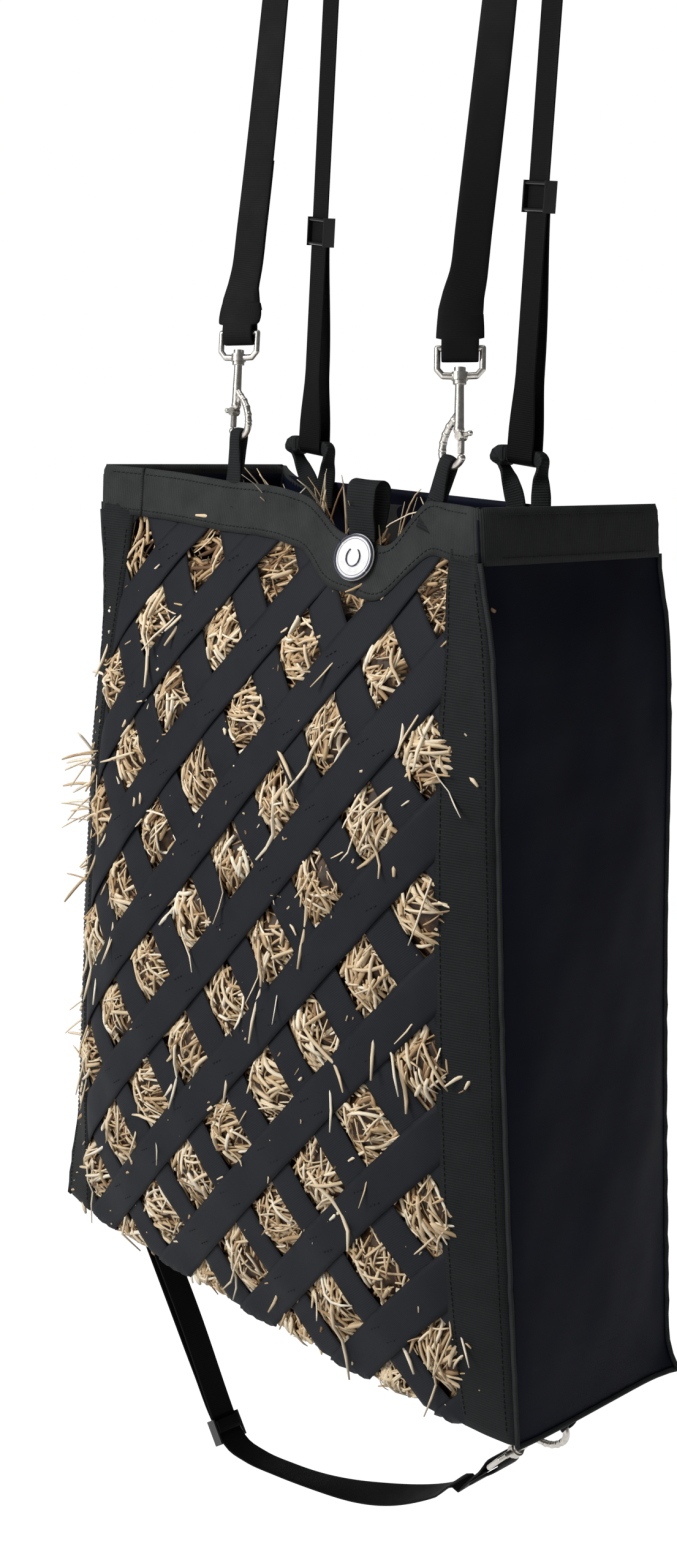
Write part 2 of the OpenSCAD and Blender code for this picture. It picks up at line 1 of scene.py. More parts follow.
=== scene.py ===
"""Hay net: webbing, nylon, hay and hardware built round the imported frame."""
import math

import bpy
import numpy as np
from mathutils import Matrix, Vector


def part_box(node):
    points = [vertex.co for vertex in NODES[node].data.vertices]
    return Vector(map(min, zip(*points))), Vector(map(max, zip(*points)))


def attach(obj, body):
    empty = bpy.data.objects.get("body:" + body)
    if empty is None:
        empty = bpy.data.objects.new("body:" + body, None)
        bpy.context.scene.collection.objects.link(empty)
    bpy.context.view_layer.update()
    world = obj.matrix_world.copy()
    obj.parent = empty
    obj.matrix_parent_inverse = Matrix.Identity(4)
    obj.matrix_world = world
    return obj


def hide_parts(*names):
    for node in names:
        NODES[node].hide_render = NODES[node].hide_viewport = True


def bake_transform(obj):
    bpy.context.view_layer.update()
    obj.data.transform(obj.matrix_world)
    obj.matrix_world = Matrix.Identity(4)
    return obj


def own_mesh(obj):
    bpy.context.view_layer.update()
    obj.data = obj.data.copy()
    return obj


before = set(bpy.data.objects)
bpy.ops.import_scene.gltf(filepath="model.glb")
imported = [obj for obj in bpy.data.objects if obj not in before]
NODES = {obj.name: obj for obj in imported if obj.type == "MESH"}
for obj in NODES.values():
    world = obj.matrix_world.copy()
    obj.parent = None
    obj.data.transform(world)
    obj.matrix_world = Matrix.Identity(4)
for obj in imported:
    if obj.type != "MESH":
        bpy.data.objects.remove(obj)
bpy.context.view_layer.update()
MM = 0.001
PI = math.pi
rng = np.random.default_rng(11)


# ---- Small helpers. Lengths are in millimetres until a mesh is made ----

def vec(*v):
    return np.array(v, float)


def unit(v):
    v = np.asarray(v, float)
    return v / np.maximum(np.linalg.norm(v, axis=-1, keepdims=True), 1e-9)


def points(x, y, z):
    return np.stack(np.broadcast_arrays(x, y, z), -1).astype(float)


def curve_through(table):
    """Smooth curve through (x, y) pairs."""
    xs, ys = np.array(table, float).T
    slope = np.gradient(ys, xs)

    def value(x):
        x = np.clip(x, xs[0], xs[-1])
        k = np.clip(np.searchsorted(xs, x, side="right") - 1, 0, len(xs) - 2)
        h = xs[k + 1] - xs[k]
        s = (x - xs[k]) / h
        return ((1 + 2 * s) * (1 - s) ** 2 * ys[k] + s * (1 - s) ** 2 * h * slope[k]
                + s * s * (3 - 2 * s) * ys[k + 1] + s * s * (s - 1) * h * slope[k + 1])
    return value


def run_along(line):
    """Distance of each point along a line from its start."""
    return np.r_[0, np.cumsum(np.linalg.norm(np.diff(line, axis=0), axis=1))]


def smooth_path(knots, count):
    """count points, evenly spaced, on a smooth curve through the knots."""
    knots = np.array(knots, float)
    run = run_along(knots)
    fine = np.linspace(0, run[-1], 400)
    line = np.stack([curve_through(np.c_[run, knots[:, k]])(fine) for k in range(3)], -1)
    return resample(line, count)


def resample(line, count):
    run = run_along(line)
    at = np.linspace(0, run[-1], count)
    return np.stack([np.interp(at, run, line[:, k]) for k in range(3)], -1)


def length_of(path):
    return float(np.linalg.norm(np.diff(path, axis=0), axis=1).sum())


def ripple(p, wavelength, seed, count=7):
    """Smooth noise from -1 to 1 at points p."""
    r = np.random.default_rng(seed)
    total = 0
    for _ in range(count):
        d = unit(r.normal(size=3)) * (2 * PI / wavelength) * r.uniform(0.6, 1.5)
        total = total + np.sin(p @ d + r.uniform(0, 2 * PI))
    return total / count * 1.6


def ease(x, low, high):
    s = np.clip((x - low) / (high - low), 0, 1)
    return s * s * (3 - 2 * s)


def make(name, verts, quads, material, uv=None, smooth=True):
    """Mesh object from points in millimetres and an array of quads."""
    verts = np.asarray(verts, float).reshape(-1, 3) * MM
    quads = np.asarray(quads, np.int32).reshape(-1, 4)
    mesh = bpy.data.meshes.new(name)
    mesh.vertices.add(len(verts))
    mesh.vertices.foreach_set("co", verts.ravel())
    mesh.loops.add(quads.size)
    mesh.loops.foreach_set("vertex_index", quads.ravel())
    mesh.polygons.add(len(quads))
    mesh.polygons.foreach_set("loop_start", np.arange(0, quads.size, 4, dtype=np.int32))
    mesh.polygons.foreach_set("use_smooth", np.full(len(quads), smooth))
    if uv is not None:
        layer = mesh.uv_layers.new(name="Weave")
        flat = np.asarray(uv, float).reshape(-1, 2)[quads.ravel()]
        layer.data.foreach_set("uv", flat.ravel())
    mesh.update(calc_edges=True)
    obj = bpy.data.objects.new(name, mesh)
    bpy.context.scene.collection.objects.link(obj)
    mesh.materials.append(material)
    return obj


def merged(parts):
    """Joins (verts, quads, uv) parts into one."""
    verts, quads, uvs, first = [], [], [], 0
    for v, q, t in parts:
        v = np.asarray(v, float).reshape(-1, 3)
        verts.append(v)
        quads.append(np.asarray(q).reshape(-1, 4) + first)
        uvs.append(np.asarray(t, float).reshape(-1, 2))
        first += len(v)
    return np.concatenate(verts), np.concatenate(quads), np.concatenate(uvs)


def ring_quads(rows, cols):
    """Quads between the rows of a grid whose columns close up, and the grid's numbers."""
    at = np.arange(rows * cols).reshape(rows, cols)
    nxt = np.roll(at, -1, axis=1)
    return np.stack([at[:-1], at[1:], nxt[1:], nxt[:-1]], -1).reshape(-1, 4), at


def slab(outer, inner, uv, ring=False):
    """Closed thin solid between two grids of points; ring closes it along the columns."""
    rows, cols = outer.shape[:2]
    size = rows * cols
    at = np.arange(size).reshape(rows, cols)
    right = np.roll(at, -1, axis=1)
    step = slice(None) if ring else slice(0, cols - 1)
    a, b = at[:-1, step], right[:-1, step]
    d, e = at[1:, step], right[1:, step]
    face = np.stack([a, d, e, b], -1).reshape(-1, 4)
    quads = [face, face[:, ::-1] + size]
    for edge, flip in ((at[0], False), (at[-1], True)):
        nxt = np.roll(edge, -1) if ring else edge[1:]
        now = edge if ring else edge[:-1]
        wall = np.stack([now, nxt, nxt + size, now + size], -1)
        quads.append(wall[:, ::-1] if flip else wall)
    if not ring:
        for edge, flip in ((at[:, 0], True), (at[:, -1], False)):
            wall = np.stack([edge[:-1], edge[1:], edge[1:] + size, edge[:-1] + size], -1)
            quads.append(wall[:, ::-1] if flip else wall)
    verts = np.concatenate([outer.reshape(-1, 3), inner.reshape(-1, 3)])
    uv = uv.reshape(-1, 2)
    return verts, np.concatenate(quads), np.concatenate([uv, uv])


SECTION_X = vec(-1, -0.985, -0.93, -0.7, -0.35, 0, 0.35, 0.7, 0.93, 0.985, 1)
SECTION_H = vec(0.3, 0.68, 0.93, 1, 1, 1, 1, 1, 0.93, 0.68, 0.3)


def ribbon(path, across, width, thick, cup=0.0):
    """Flat webbing along a path: across is its width's direction, cup bows it."""
    path = np.asarray(path, float)
    n = len(path)
    tangent = unit(np.gradient(path, axis=0))
    across = np.broadcast_to(across, path.shape)
    normal = unit(np.cross(tangent, across))
    across = np.cross(normal, tangent)
    width = np.broadcast_to(width, n)[:, None]
    thick = np.broadcast_to(thick, n)[:, None]
    cup = np.broadcast_to(cup, n)[:, None]
    sx = np.r_[SECTION_X, SECTION_X[::-1]]
    sh = np.r_[SECTION_H, -SECTION_H[::-1]]
    m = len(sx)
    ax = sx * width / 2
    hn = sh * thick / 2 - cup * sx * sx
    verts = path[:, None] + across[:, None] * ax[..., None] + normal[:, None] * hn[..., None]
    sides, _ = ring_quads(n, m)
    k = np.arange(m // 2 - 1)
    cap = np.stack([k, k + 1, m - 2 - k, m - 1 - k], -1)
    quads = np.concatenate([sides, cap, cap[:, ::-1] + (n - 1) * m])
    run = run_along(path)
    uv = np.stack([np.broadcast_to(ax, (n, m)), np.broadcast_to(run[:, None], (n, m))], -1)
    return verts, quads, uv


def tube(path, radius, sides=8, flat=1.0):
    """Round tube along a path, with closed ends."""
    path = np.asarray(path, float)
    n = len(path)
    tangent = unit(np.gradient(path, axis=0))
    up = np.broadcast_to(vec(0.13, 0.21, 0.97), path.shape)
    steep = np.abs((tangent * up).sum(-1, keepdims=True)) > 0.9
    up = np.where(steep, vec(0.9, 0.3, 0.1), up)
    side = unit(np.cross(tangent, up))
    up = np.cross(side, tangent)
    angle = np.arange(sides) * 2 * PI / sides
    radius = np.broadcast_to(radius, n)[:, None, None]
    verts = path[:, None] + radius * (
        side[:, None] * np.cos(angle)[:, None] + flat * up[:, None] * np.sin(angle)[:, None])
    quads = [ring_quads(n, sides)[0][:, [0, 3, 2, 1]]]
    for k in range(sides // 2 - 1):
        quads.append([[k, sides - 1 - k, sides - 2 - k, k + 1]])
        far = (n - 1) * sides
        quads.append([[far + k, far + k + 1, far + sides - 2 - k, far + sides - 1 - k]])
    run = run_along(path)
    uv = np.stack(np.broadcast_arrays(angle[None] * 2, run[:, None]), -1)
    return verts, np.concatenate(quads), uv


def stitches(path, normal, pitch=4.2, long=3.0, radius=0.32, lift=0.1):
    """A row of thread stitches laid along a path."""
    path = np.asarray(path, float)
    count = max(2, int(length_of(path) / pitch))
    mid = resample(path, count)
    normal = resample(np.broadcast_to(normal, path.shape).copy(), count)
    way = unit(np.gradient(mid, axis=0))
    parts = []
    for c, w, nn in zip(mid, way, unit(normal)):
        s = vec(-0.5, -0.3, 0.3, 0.5)[:, None]
        arch = vec(-0.25, radius + lift, radius + lift, -0.25)[:, None]
        parts.append(tube(c + w * s * long + nn * arch, radius, 4))
    return merged(parts)


# ---- Materials ----

def material(name, colour, rough, **sockets):
    """A material with its shader, and the node tree to add to."""
    mat = bpy.data.materials.new(name)
    mat.use_nodes = True
    tree = mat.node_tree
    shader = tree.nodes["Principled BSDF"]
    shader.inputs["Base Color"].default_value = (*colour, 1)
    shader.inputs["Roughness"].default_value = rough
    for key, value in sockets.items():
        shader.inputs[key.replace("_", " ")].default_value = value
    return mat, tree, shader


def node(tree, kind, **settings):
    made = tree.nodes.new("ShaderNode" + kind)
    for key, value in settings.items():
        if hasattr(made, key):
            setattr(made, key, value)
        else:
            made.inputs[key.replace("_", " ")].default_value = value
    return made


def maths(tree, operation, a, b=None, clamp=False):
    made = tree.nodes.new("ShaderNodeMath")
    made.operation = operation
    made.use_clamp = clamp
    for k, source in enumerate((a, b)):
        if source is None:
            continue
        if hasattr(source, "default_value") and not isinstance(source, (int, float)):
            tree.links.new(source, made.inputs[k])
        else:
            made.inputs[k].default_value = source
    return made.outputs[0]


def ramp(tree, fac, stops):
    made = tree.nodes.new("ShaderNodeValToRGB")
    while len(made.color_ramp.elements) < len(stops):
        made.color_ramp.elements.new(0.5)
    for element, (at, colour) in zip(made.color_ramp.elements, stops):
        element.position = at
        element.color = (*colour, 1) if len(colour) == 3 else colour
    tree.links.new(fac, made.inputs[0])
    return made.outputs[0]


def place(tree, scale, uv=True):
    """Texture coordinates in millimetres: along the piece, or in the part's own frame."""
    if uv:
        source = node(tree, "UVMap", uv_map="Weave").outputs[0]
    else:
        source = node(tree, "TexCoord").outputs["Object"]
    mapping = node(tree, "Mapping")
    factor = scale if isinstance(scale, tuple) else (scale,) * 3
    mapping.inputs["Scale"].default_value = factor if uv else tuple(1000 * f for f in factor)
    tree.links.new(source, mapping.inputs["Vector"])
    return mapping.outputs[0]


def noise(tree, where, scale=1.0, detail=3.0, rough=0.55):
    made = node(tree, "TexNoise", Scale=scale, Detail=detail, Roughness=rough)
    tree.links.new(where, made.inputs["Vector"])
    return made.outputs["Fac"]


def bump(tree, shader, height, strength, distance, before=None):
    made = node(tree, "Bump", Strength=strength, Distance=distance * MM)
    tree.links.new(height, made.inputs["Height"])
    if before is not None:
        tree.links.new(before, made.inputs["Normal"])
    tree.links.new(made.outputs[0], shader.inputs["Normal"])
    return made.outputs[0]


def webbing_material(name, dark, light, rib=1.9, rib_depth=0.35, fleck=0.5):
    """Woven nylon webbing: ribs across it, fine yarns along it, a little dust and wear, and painted
    shade where the weave is low.
    """
    mat, tree, shader = material(name, dark, 0.62)
    shader.inputs["Specular IOR Level"].default_value = 0.12
    split = node(tree, "SeparateXYZ")
    tree.links.new(place(tree, 1.0), split.inputs[0])
    u, v = split.outputs[0], split.outputs[1]
    ribs = maths(tree, "SINE", maths(tree, "MULTIPLY", v, 2 * PI / rib))
    shift = maths(tree, "MULTIPLY", ribs, 0.9)
    yarns = maths(tree, "SINE", maths(tree, "ADD", maths(tree, "MULTIPLY", u, 2 * PI / 0.8), shift))
    weave = maths(tree, "ADD", maths(tree, "MULTIPLY", ribs, 0.6),
                  maths(tree, "MULTIPLY", yarns, 0.4))
    height = maths(tree, "MULTIPLY_ADD", weave, 0.5)
    height.node.inputs[2].default_value = 0.5
    dust = noise(tree, place(tree, 0.045, uv=False), 1.0, 5.0, 0.6)
    # Colour tone: random dust noise plus painted shade, darker where the weave's ribs and yarns are low.
    dust_and_weave_shade = maths(tree, "ADD", maths(tree, "MULTIPLY", dust, fleck),
                  maths(tree, "MULTIPLY", height, 0.35))
    tone = ramp(tree, dust_and_weave_shade, [(0.2, dark), (0.75, light)])
    tree.links.new(tone, shader.inputs["Base Color"])
    rough = node(tree, "MapRange")
    tree.links.new(dust, rough.inputs[0])
    rough.inputs[3].default_value, rough.inputs[4].default_value = 0.5, 0.78
    tree.links.new(rough.outputs[0], shader.inputs["Roughness"])
    bump(tree, shader, height, 0.55, rib_depth)
    return mat


def nylon_material():
    """Coated ballistic nylon: tight basket weave, soft creases."""
    mat, tree, shader = material("nylon_cloth", (0.003, 0.004, 0.012), 0.6)
    shader.inputs["Specular IOR Level"].default_value = 0.09
    split = node(tree, "SeparateXYZ")
    tree.links.new(place(tree, 1.0), split.inputs[0])
    warp = maths(tree, "SINE", maths(tree, "MULTIPLY", split.outputs[0], 2 * PI / 1.3))
    weft = maths(tree, "SINE", maths(tree, "MULTIPLY", split.outputs[1], 2 * PI / 1.3))
    weave = maths(tree, "MULTIPLY", warp, weft)
    height = maths(tree, "MULTIPLY_ADD", weave, 0.5)
    height.node.inputs[2].default_value = 0.5
    cloud = noise(tree, place(tree, 0.02, uv=False), 1.0, 6.0, 0.6)
    crease = noise(tree, place(tree, (0.012, 0.012, 0.05), uv=False), 1.0, 4.0, 0.5)
    # Colour: random cloud plus painted shade that darkens the weave where it is low.
    tone = ramp(tree, maths(tree, "ADD", maths(tree, "MULTIPLY", cloud, 0.8),
                            maths(tree, "MULTIPLY", height, 0.2)),
                [(0.25, (0.001, 0.0016, 0.006)), (0.75, (0.0042, 0.006, 0.017))])
    tree.links.new(tone, shader.inputs["Base Color"])
    first = bump(tree, shader, height, 0.35, 0.25)
    bump(tree, shader, crease, 0.25, 2.0, first)
    return mat


def straw_material(name, stops, depth=0.3):
    """Dry stems: each has a tone of its own, with streaks and nodes along it."""
    mat, tree, shader = material(name, stops[1][1], 0.55)
    shader.inputs["Specular IOR Level"].default_value = 0.3
    shader.inputs["Subsurface Weight"].default_value = 0.0
    split = node(tree, "SeparateXYZ")
    tree.links.new(place(tree, 1.0), split.inputs[0])
    streak = noise(tree, place(tree, (3.0, 0.12, 1.0)), 1.0, 3.0, 0.6)
    tone = maths(tree, "ADD", split.outputs[0],
                 maths(tree, "MULTIPLY", maths(tree, "SUBTRACT", streak, 0.5), depth))
    tree.links.new(ramp(tree, tone, stops), shader.inputs["Base Color"])
    bump(tree, shader, streak, 0.4, 0.3)
    return mat


def metal_material(name, colour, rough, metallic, fleck, coat=0.0):
    mat, tree, shader = material(name, colour, rough, Metallic=metallic, Coat_Weight=coat)
    cloud = noise(tree, place(tree, 0.35, uv=False), 1.0, 5.0, 0.6)
    fine = noise(tree, place(tree, 2.2, uv=False), 1.0, 2.0, 0.5)
    tone = ramp(tree, cloud, [(0.3, tuple(c * (1 - fleck) for c in colour)), (0.7, colour)])
    tree.links.new(tone, shader.inputs["Base Color"])
    wear = node(tree, "MapRange")
    tree.links.new(cloud, wear.inputs[0])
    wear.inputs[3].default_value, wear.inputs[4].default_value = rough * 0.75, rough * 1.35
    tree.links.new(wear.outputs[0], shader.inputs["Roughness"])
    bump(tree, shader, fine, 0.12, 0.15)
    return mat


HEM = webbing_material("hem_webbing", (0.009, 0.0098, 0.0105), (0.042, 0.044, 0.0435), fleck=0.7,
                       rib_depth=0.5)
BORDER = webbing_material("border_webbing", (0.004, 0.0045, 0.005), (0.023, 0.025, 0.026),
                          rib_depth=0.6)
BINDING_WEB = webbing_material("binding_webbing", (0.012, 0.013, 0.014), (0.05, 0.053, 0.054),
                               rib=1.2)
LATTICE = webbing_material("lattice_webbing", (0.007, 0.008, 0.0105), (0.0205, 0.023, 0.029),
                           rib=1.5, rib_depth=0.2)
STRAP = webbing_material("strap_webbing", (0.0006, 0.0006, 0.0008), (0.0026, 0.0026, 0.0032),
                         rib=1.6, rib_depth=0.25)
NYLON = nylon_material()
STRAW = straw_material("straw", [
    (0.0, (0.06, 0.03, 0.014)), (0.25, (0.25, 0.135, 0.06)), (0.5, (0.56, 0.39, 0.21)),
    (0.75, (0.80, 0.65, 0.44)), (1.0, (0.93, 0.86, 0.70))])
# Dark browns painted as the shade between and behind the hay stems.
HAY_SHADE_CORE = straw_material("hay_core_shade", [
    (0.0, (0.008, 0.004, 0.002)), (0.5, (0.035, 0.016, 0.006)), (1.0, (0.11, 0.055, 0.02))], 1.4)
NICKEL = metal_material("nickel", (0.62, 0.59, 0.54), 0.3, 1.0, 0.3)
BLACK_STEEL = metal_material("black_steel", (0.006, 0.006, 0.007), 0.3, 0.0, 0.3, 0.2)


# ---- The bag's surfaces ----

RIM_W, RIM_D, BASE_W, BASE_D, BAG_H = 405, 197, 525, 176, 652
RIM_X, BASE_SHIFT, RIM_Z, HEM_H, BORDER_W = -30, 20, -620, 38, 38
BASE_Z = RIM_Z - BAG_H
FOLD_R = 6.0
front_bow = curve_through([[0, -18], [0.05, -16], [0.11, -3], [0.25, 24], [0.5, 40], [0.85, 34],
                           [1, 12]])
rear_bow = curve_through([[0, -36], [0.09, -8], [0.3, 12], [0.55, 24], [0.9, 16], [1, 4]])
side_bow = curve_through([[0, 0], [0.15, 2.5], [0.5, 7], [0.85, 6], [1, 2]])
front_dip = curve_through([[-1, 0], [-0.6, 1], [-0.36, 3], [0.02, 5], [0.12, 9], [0.27, 29],
                           [0.4, 33], [0.54, 33], [0.65, 12], [0.73, 0], [0.86, 0], [1, 0]])
rear_dip = curve_through([[-1, 0], [-0.61, 17], [0, 14], [0.55, 9], [1, 0]])
# How far the two front edges stand to the right of a straight line, down the bag
left_lean = curve_through([[0, 0], [0.06, 2], [0.12, 9], [0.2, 12], [0.32, 7], [0.5, 6],
                           [0.72, 9], [0.88, 9], [0.96, 2], [1, 0]])
right_lean = curve_through([[0, 0], [0.07, 1], [0.13, 7], [0.22, 9], [0.36, 7], [0.5, 5],
                            [0.7, 4], [1, 5]])


def mid_x(t):
    return RIM_X + BASE_SHIFT * t


def half_w(t):
    return (RIM_W + (BASE_W - RIM_W) * t) / 2


def half_d(t):
    return (RIM_D + (BASE_D - RIM_D) * t) / 2


def crown(u):
    return 1 - np.abs(u) ** 4


def panel_x(u, t):
    lean = np.where(u < 0, left_lean(t), right_lean(t)) * np.abs(u) ** 6
    return mid_x(t) + u * half_w(t) + lean


def front_skin(u, v, out=0.0):
    """Point on the front v millimetres down it, turning under the base at the bottom."""
    u, v, out = np.broadcast_arrays(u, v, out)
    t = np.clip(v / BAG_H, 0, 1 - FOLD_R / BAG_H)
    turn = np.clip(v - (BAG_H - FOLD_R), 0, None)
    angle = np.minimum(turn / FOLD_R, PI / 2)
    under = np.clip(turn - FOLD_R * PI / 2, 0, None)
    y = -half_d(t) - front_bow(t) * crown(u) + FOLD_R - (FOLD_R + out) * np.cos(angle) + under
    sag = 4 * (1 - u * u) * t ** 8
    return points(panel_x(u, t), y, RIM_Z - BAG_H * t - (FOLD_R + out) * np.sin(angle) - sag)


def rear_skin(u, v, out=0.0):
    t = np.clip(v / BAG_H, 0, 1)
    y = half_d(t) + rear_bow(t) * crown(u) + out
    return points(panel_x(u, t), y, RIM_Z - BAG_H * t)


def side_skin(side, s, v, out=0.0):
    """s runs from -1 at the front edge to 1 at the rear edge."""
    t = np.clip(v / BAG_H, 0, 1)
    lean = left_lean(t) if side < 0 else right_lean(t)
    ear = 7 * np.exp(-((1 - t) / 0.02) ** 2) * np.clip(s, 0, 1) ** 6
    x = mid_x(t) + lean + side * (half_w(t) + side_bow(t) * crown(s) + out + ear)
    return points(x, s * half_d(t) * (1 + 0.03 * ear / 7), RIM_Z - BAG_H * t)


# ---- Camera ----

def add_camera():
    place_m, azimuth, elevation, roll = (1.0043, -1.0343, -0.534), 45.39, 12.49, 2.89
    a, e, r = (math.radians(x) for x in (azimuth, elevation, roll))
    back = Vector((math.sin(a) * math.cos(e), -math.cos(a) * math.cos(e), math.sin(e)))
    right = Vector((0, 0, 1)).cross(back).normalized()
    up = back.cross(right)
    right, up = (right * math.cos(r) + up * math.sin(r), up * math.cos(r) - right * math.sin(r))
    data = bpy.data.cameras.new("camera")
    data.sensor_width = 36
    data.lens = 43.2
    data.clip_start, data.clip_end = 0.02, 60
    camera = bpy.data.objects.new("camera", data)
    basis = Matrix((right, up, back)).transposed().to_4x4()
    camera.matrix_world = Matrix.Translation(place_m) @ basis
    bpy.context.scene.collection.objects.link(camera)
    bpy.context.scene.camera = camera


add_camera()


# ---- Hanging straps ----

WEB_W, WEB_T = 25.0, 1.8
# Radius of the straps' middle round the rail, and round their hitches
RAIL_MID, TURN_R = 16.0, 5.8
SNAP_LEN = 78.5
# How far the rear legs are turned about their own lines, in degrees
REAR_TURN = -16.0
STRAP_X = 110.0
# Height of the sewn end above a snap's eye
END_TOP = 24.0
LEFT = dict(hook=vec(-98.7, -76, -590.5), near=vec(-106.4, -68.1, -513), hitch=vec(-157, 63, -600),
            x=-STRAP_X, eye_turn=20, hook_turn=180, up=172, lean=-4)
RIGHT = dict(hook=vec(138.3, -81.9, -595), near=vec(125.6, -73.4, -518), hitch=vec(73, 63, -593),
             x=STRAP_X, eye_turn=40, hook_turn=0, up=186, lean=24)


def leave_rail(p, side, x):
    swing = math.acos(RAIL_MID / math.hypot(p[1], p[2]))
    base = math.atan2(p[2], p[1])
    angle = base + side * swing
    return vec(x, RAIL_MID * math.cos(angle), RAIL_MID * math.sin(angle))


def axes_along(p, q, turn=0.0):
    """Rotation whose -Z runs from p to q, turned about it, as the snaps are built."""
    d = unit(q - p)
    a, b, t = math.asin(d[1]), math.atan2(-d[0], -d[2]), math.radians(turn)
    rx = np.array([[1, 0, 0], [0, math.cos(a), -math.sin(a)], [0, math.sin(a), math.cos(a)]])
    ry = np.array([[math.cos(b), 0, math.sin(b)], [0, 1, 0], [-math.sin(b), 0, math.cos(b)]])
    rz = np.array([[math.cos(t), -math.sin(t), 0], [math.sin(t), math.cos(t), 0], [0, 0, 1]])
    return ry @ rx @ rz


def arc(centre, a, b, radius, start, stop, count):
    angle = np.radians(np.linspace(start, stop, count))[:, None]
    return centre + radius * (np.cos(angle) * a + np.sin(angle) * b)


def spread(a, b, count):
    return a + (b - a) * np.linspace(0, 1, count)[:, None]


def add_piece(name, built, body="net", surface=STRAP):
    """Mesh object, attached to the body it rides on when one is given."""
    obj = make(name, *built[:2], surface, built[2])
    if body:
        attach(obj, body)
    return obj


def snap_fold(rot, eye):
    """Webbing end folded round a snap's eye: centreline from the front leg round to the back."""
    front = [vec(0, -1.6, END_TOP), vec(0, -2.6, 15), vec(0, -4.0, 7), vec(0, -4.6, 0)]
    bend = [vec(0, -3.9, -4.5), vec(0, -2.2, -7.4), vec(0, 0, -8.4), vec(0, 2.2, -7.4),
            vec(0, 3.9, -4.5)]
    rear = [vec(0, 4.6, 0), vec(0, 4.0, 7), vec(0, 2.6, 15), vec(0, 1.6, END_TOP),
            vec(0, 1.3, 34)]
    local = smooth_path(np.array(front + bend + rear), 60)
    return eye + local @ rot.T


def turned(path, down, base, degrees):
    """Width's direction of a flat run whose line is down, turned about it point by point."""
    flat = unit(vec(1, 0, 0) - down[0] * down)
    face = np.cross(flat, down)
    angle = np.radians(degrees * ease((path - base) @ -down, 12, 62))[:, None]
    return flat * np.cos(angle) + face * np.sin(angle)


def front_leg(side, s):
    """Front half of a hanging strap: from the rail's crest down to the snap's eye."""
    eye = s["hook"] + unit(s["near"] - s["hook"]) * SNAP_LEN
    top = leave_rail(eye, -1, s["x"])
    line = unit(top - eye)
    snap_line = unit(eye - s["hook"])
    rot = axes_along(eye, s["hook"], s["eye_turn"])
    x_axis = vec(1, 0, 0)
    # The leg twists to the eye's turn on its way down
    over = arc(vec(s["x"], 0, 0), vec(0, -1, 0), vec(0, 0, 1), RAIL_MID, 90,
               math.degrees(math.atan2(top[2], -top[1])), 9)
    leg = spread(top, eye + line * 78, 36)[1:]
    fold = snap_fold(rot, eye)
    bend = smooth_path([leg[-2], leg[-1], eye + line * 50, fold[0], fold[2]], 16)[4:-3]
    path = np.concatenate([over, leg, bend])
    share = ease(-path[:, 2], 120, -(eye + line * 30)[2])
    flat_x = unit(x_axis - (x_axis @ line) * line)
    end_x = rot @ x_axis
    across = unit(flat_x * (1 - share[:, None]) + end_x * share[:, None])
    drop = (path - eye) @ line
    # Limp webbing wavers slightly between the rail and the snap
    waver = 1.2 * np.sin(drop / 71.0 + s["x"]) * ease(drop, 30, 120) * ease(-path[:, 2], 0, 80)
    path = path + np.cross(across, line) * waver[:, None]
    count = len(path)
    path = np.concatenate([path, fold])
    across = np.concatenate([across, np.broadcast_to(end_x, fold.shape)])
    rise = (path - eye) @ snap_line
    front_side = np.arange(len(path)) < count + 14
    if side == "left":
        flare = 11.0 * np.exp(-((rise - 13) / 15.0) ** 2) * ease(rise, 2, 8)
    else:
        flare = 7.5 * ease(-rise, -60, -6) * ease(rise, 2, 6)
    parts = [ribbon(path, across, WEB_W + flare * front_side, 1.9, 0.2 * flare * front_side)]
    # Doubled layer of the sewn end
    layer = path[count - 14:count + 6]
    layer = layer - np.cross(end_x, snap_line) * 2.0
    parts.append(ribbon(layer, across[count - 14:count + 6], (WEB_W + flare - 0.6)[count - 14:count + 6],
                        1.6, 0.2 * flare[count - 14:count + 6]))
    # Box stitching that closes the fold
    face = np.cross(end_x, snap_line)
    for dx in (-9, 9):
        seam = eye + snap_line * np.linspace(14, 24, 3)[:, None] + end_x * dx
        parts.append(stitches(seam - face * 6.4, -face))
    front = add_piece(side + "_front_strap", merged(parts), None)
    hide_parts(side + "_strap_end")
    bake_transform(front)
    return eye


def rear_leg(side, s):
    """Rear half of a hanging strap: down from the rail, round the hitch and up to the slider."""
    x_axis = vec(1, 0, 0)
    back = leave_rail(s["hitch"], 1, s["x"])
    low = s["hitch"] + vec(0, -TURN_R, 0)
    over = arc(vec(s["x"], 0, 0), vec(0, 1, 0), vec(0, 0, 1), RAIL_MID, 90,
               math.degrees(math.atan2(back[2], back[1])), 9)
    leg = spread(back, low, 60)[1:]
    turn = arc(s["hitch"], vec(0, -1, 0), vec(0, 0, -1), TURN_R, 0, 170, 15)[1:]
    path = np.concatenate([over, leg, turn])
    down = unit(low - back)
    edge = unit(x_axis - (x_axis @ down) * down)
    twist = turned(path, down, low, REAR_TURN) * ease(-path[:, 2:], 30, 150)
    twist = twist + edge * (1 - ease(-path[:, 2:], 30, 150))
    rear = add_piece(side + "_rear_strap", ribbon(path, twist, WEB_W, WEB_T), "net")
    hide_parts(side + "_strap")
    # Doubled run up to the slider
    slide = low - down * s["up"]
    foot = s["hitch"] + vec(0, TURN_R * 0.95, 0.8)
    slider_rot = axes_along(slide, low, REAR_TURN)
    head = slide + down * 10 + slider_rot @ vec(0, 2.6, 0)
    path = spread(foot, head, 40)
    bulge = 1.8 * np.sin(PI * np.linspace(0, 1, 40)) ** 2
    path = path + vec(0.5, 0.8, 0) * bulge[:, None]
    run = add_piece(side + "_return_run",
                       ribbon(path, turned(path, down, low, REAR_TURN), WEB_W, WEB_T), "net")
    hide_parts(side + "_return")
    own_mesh(run)
    return slide


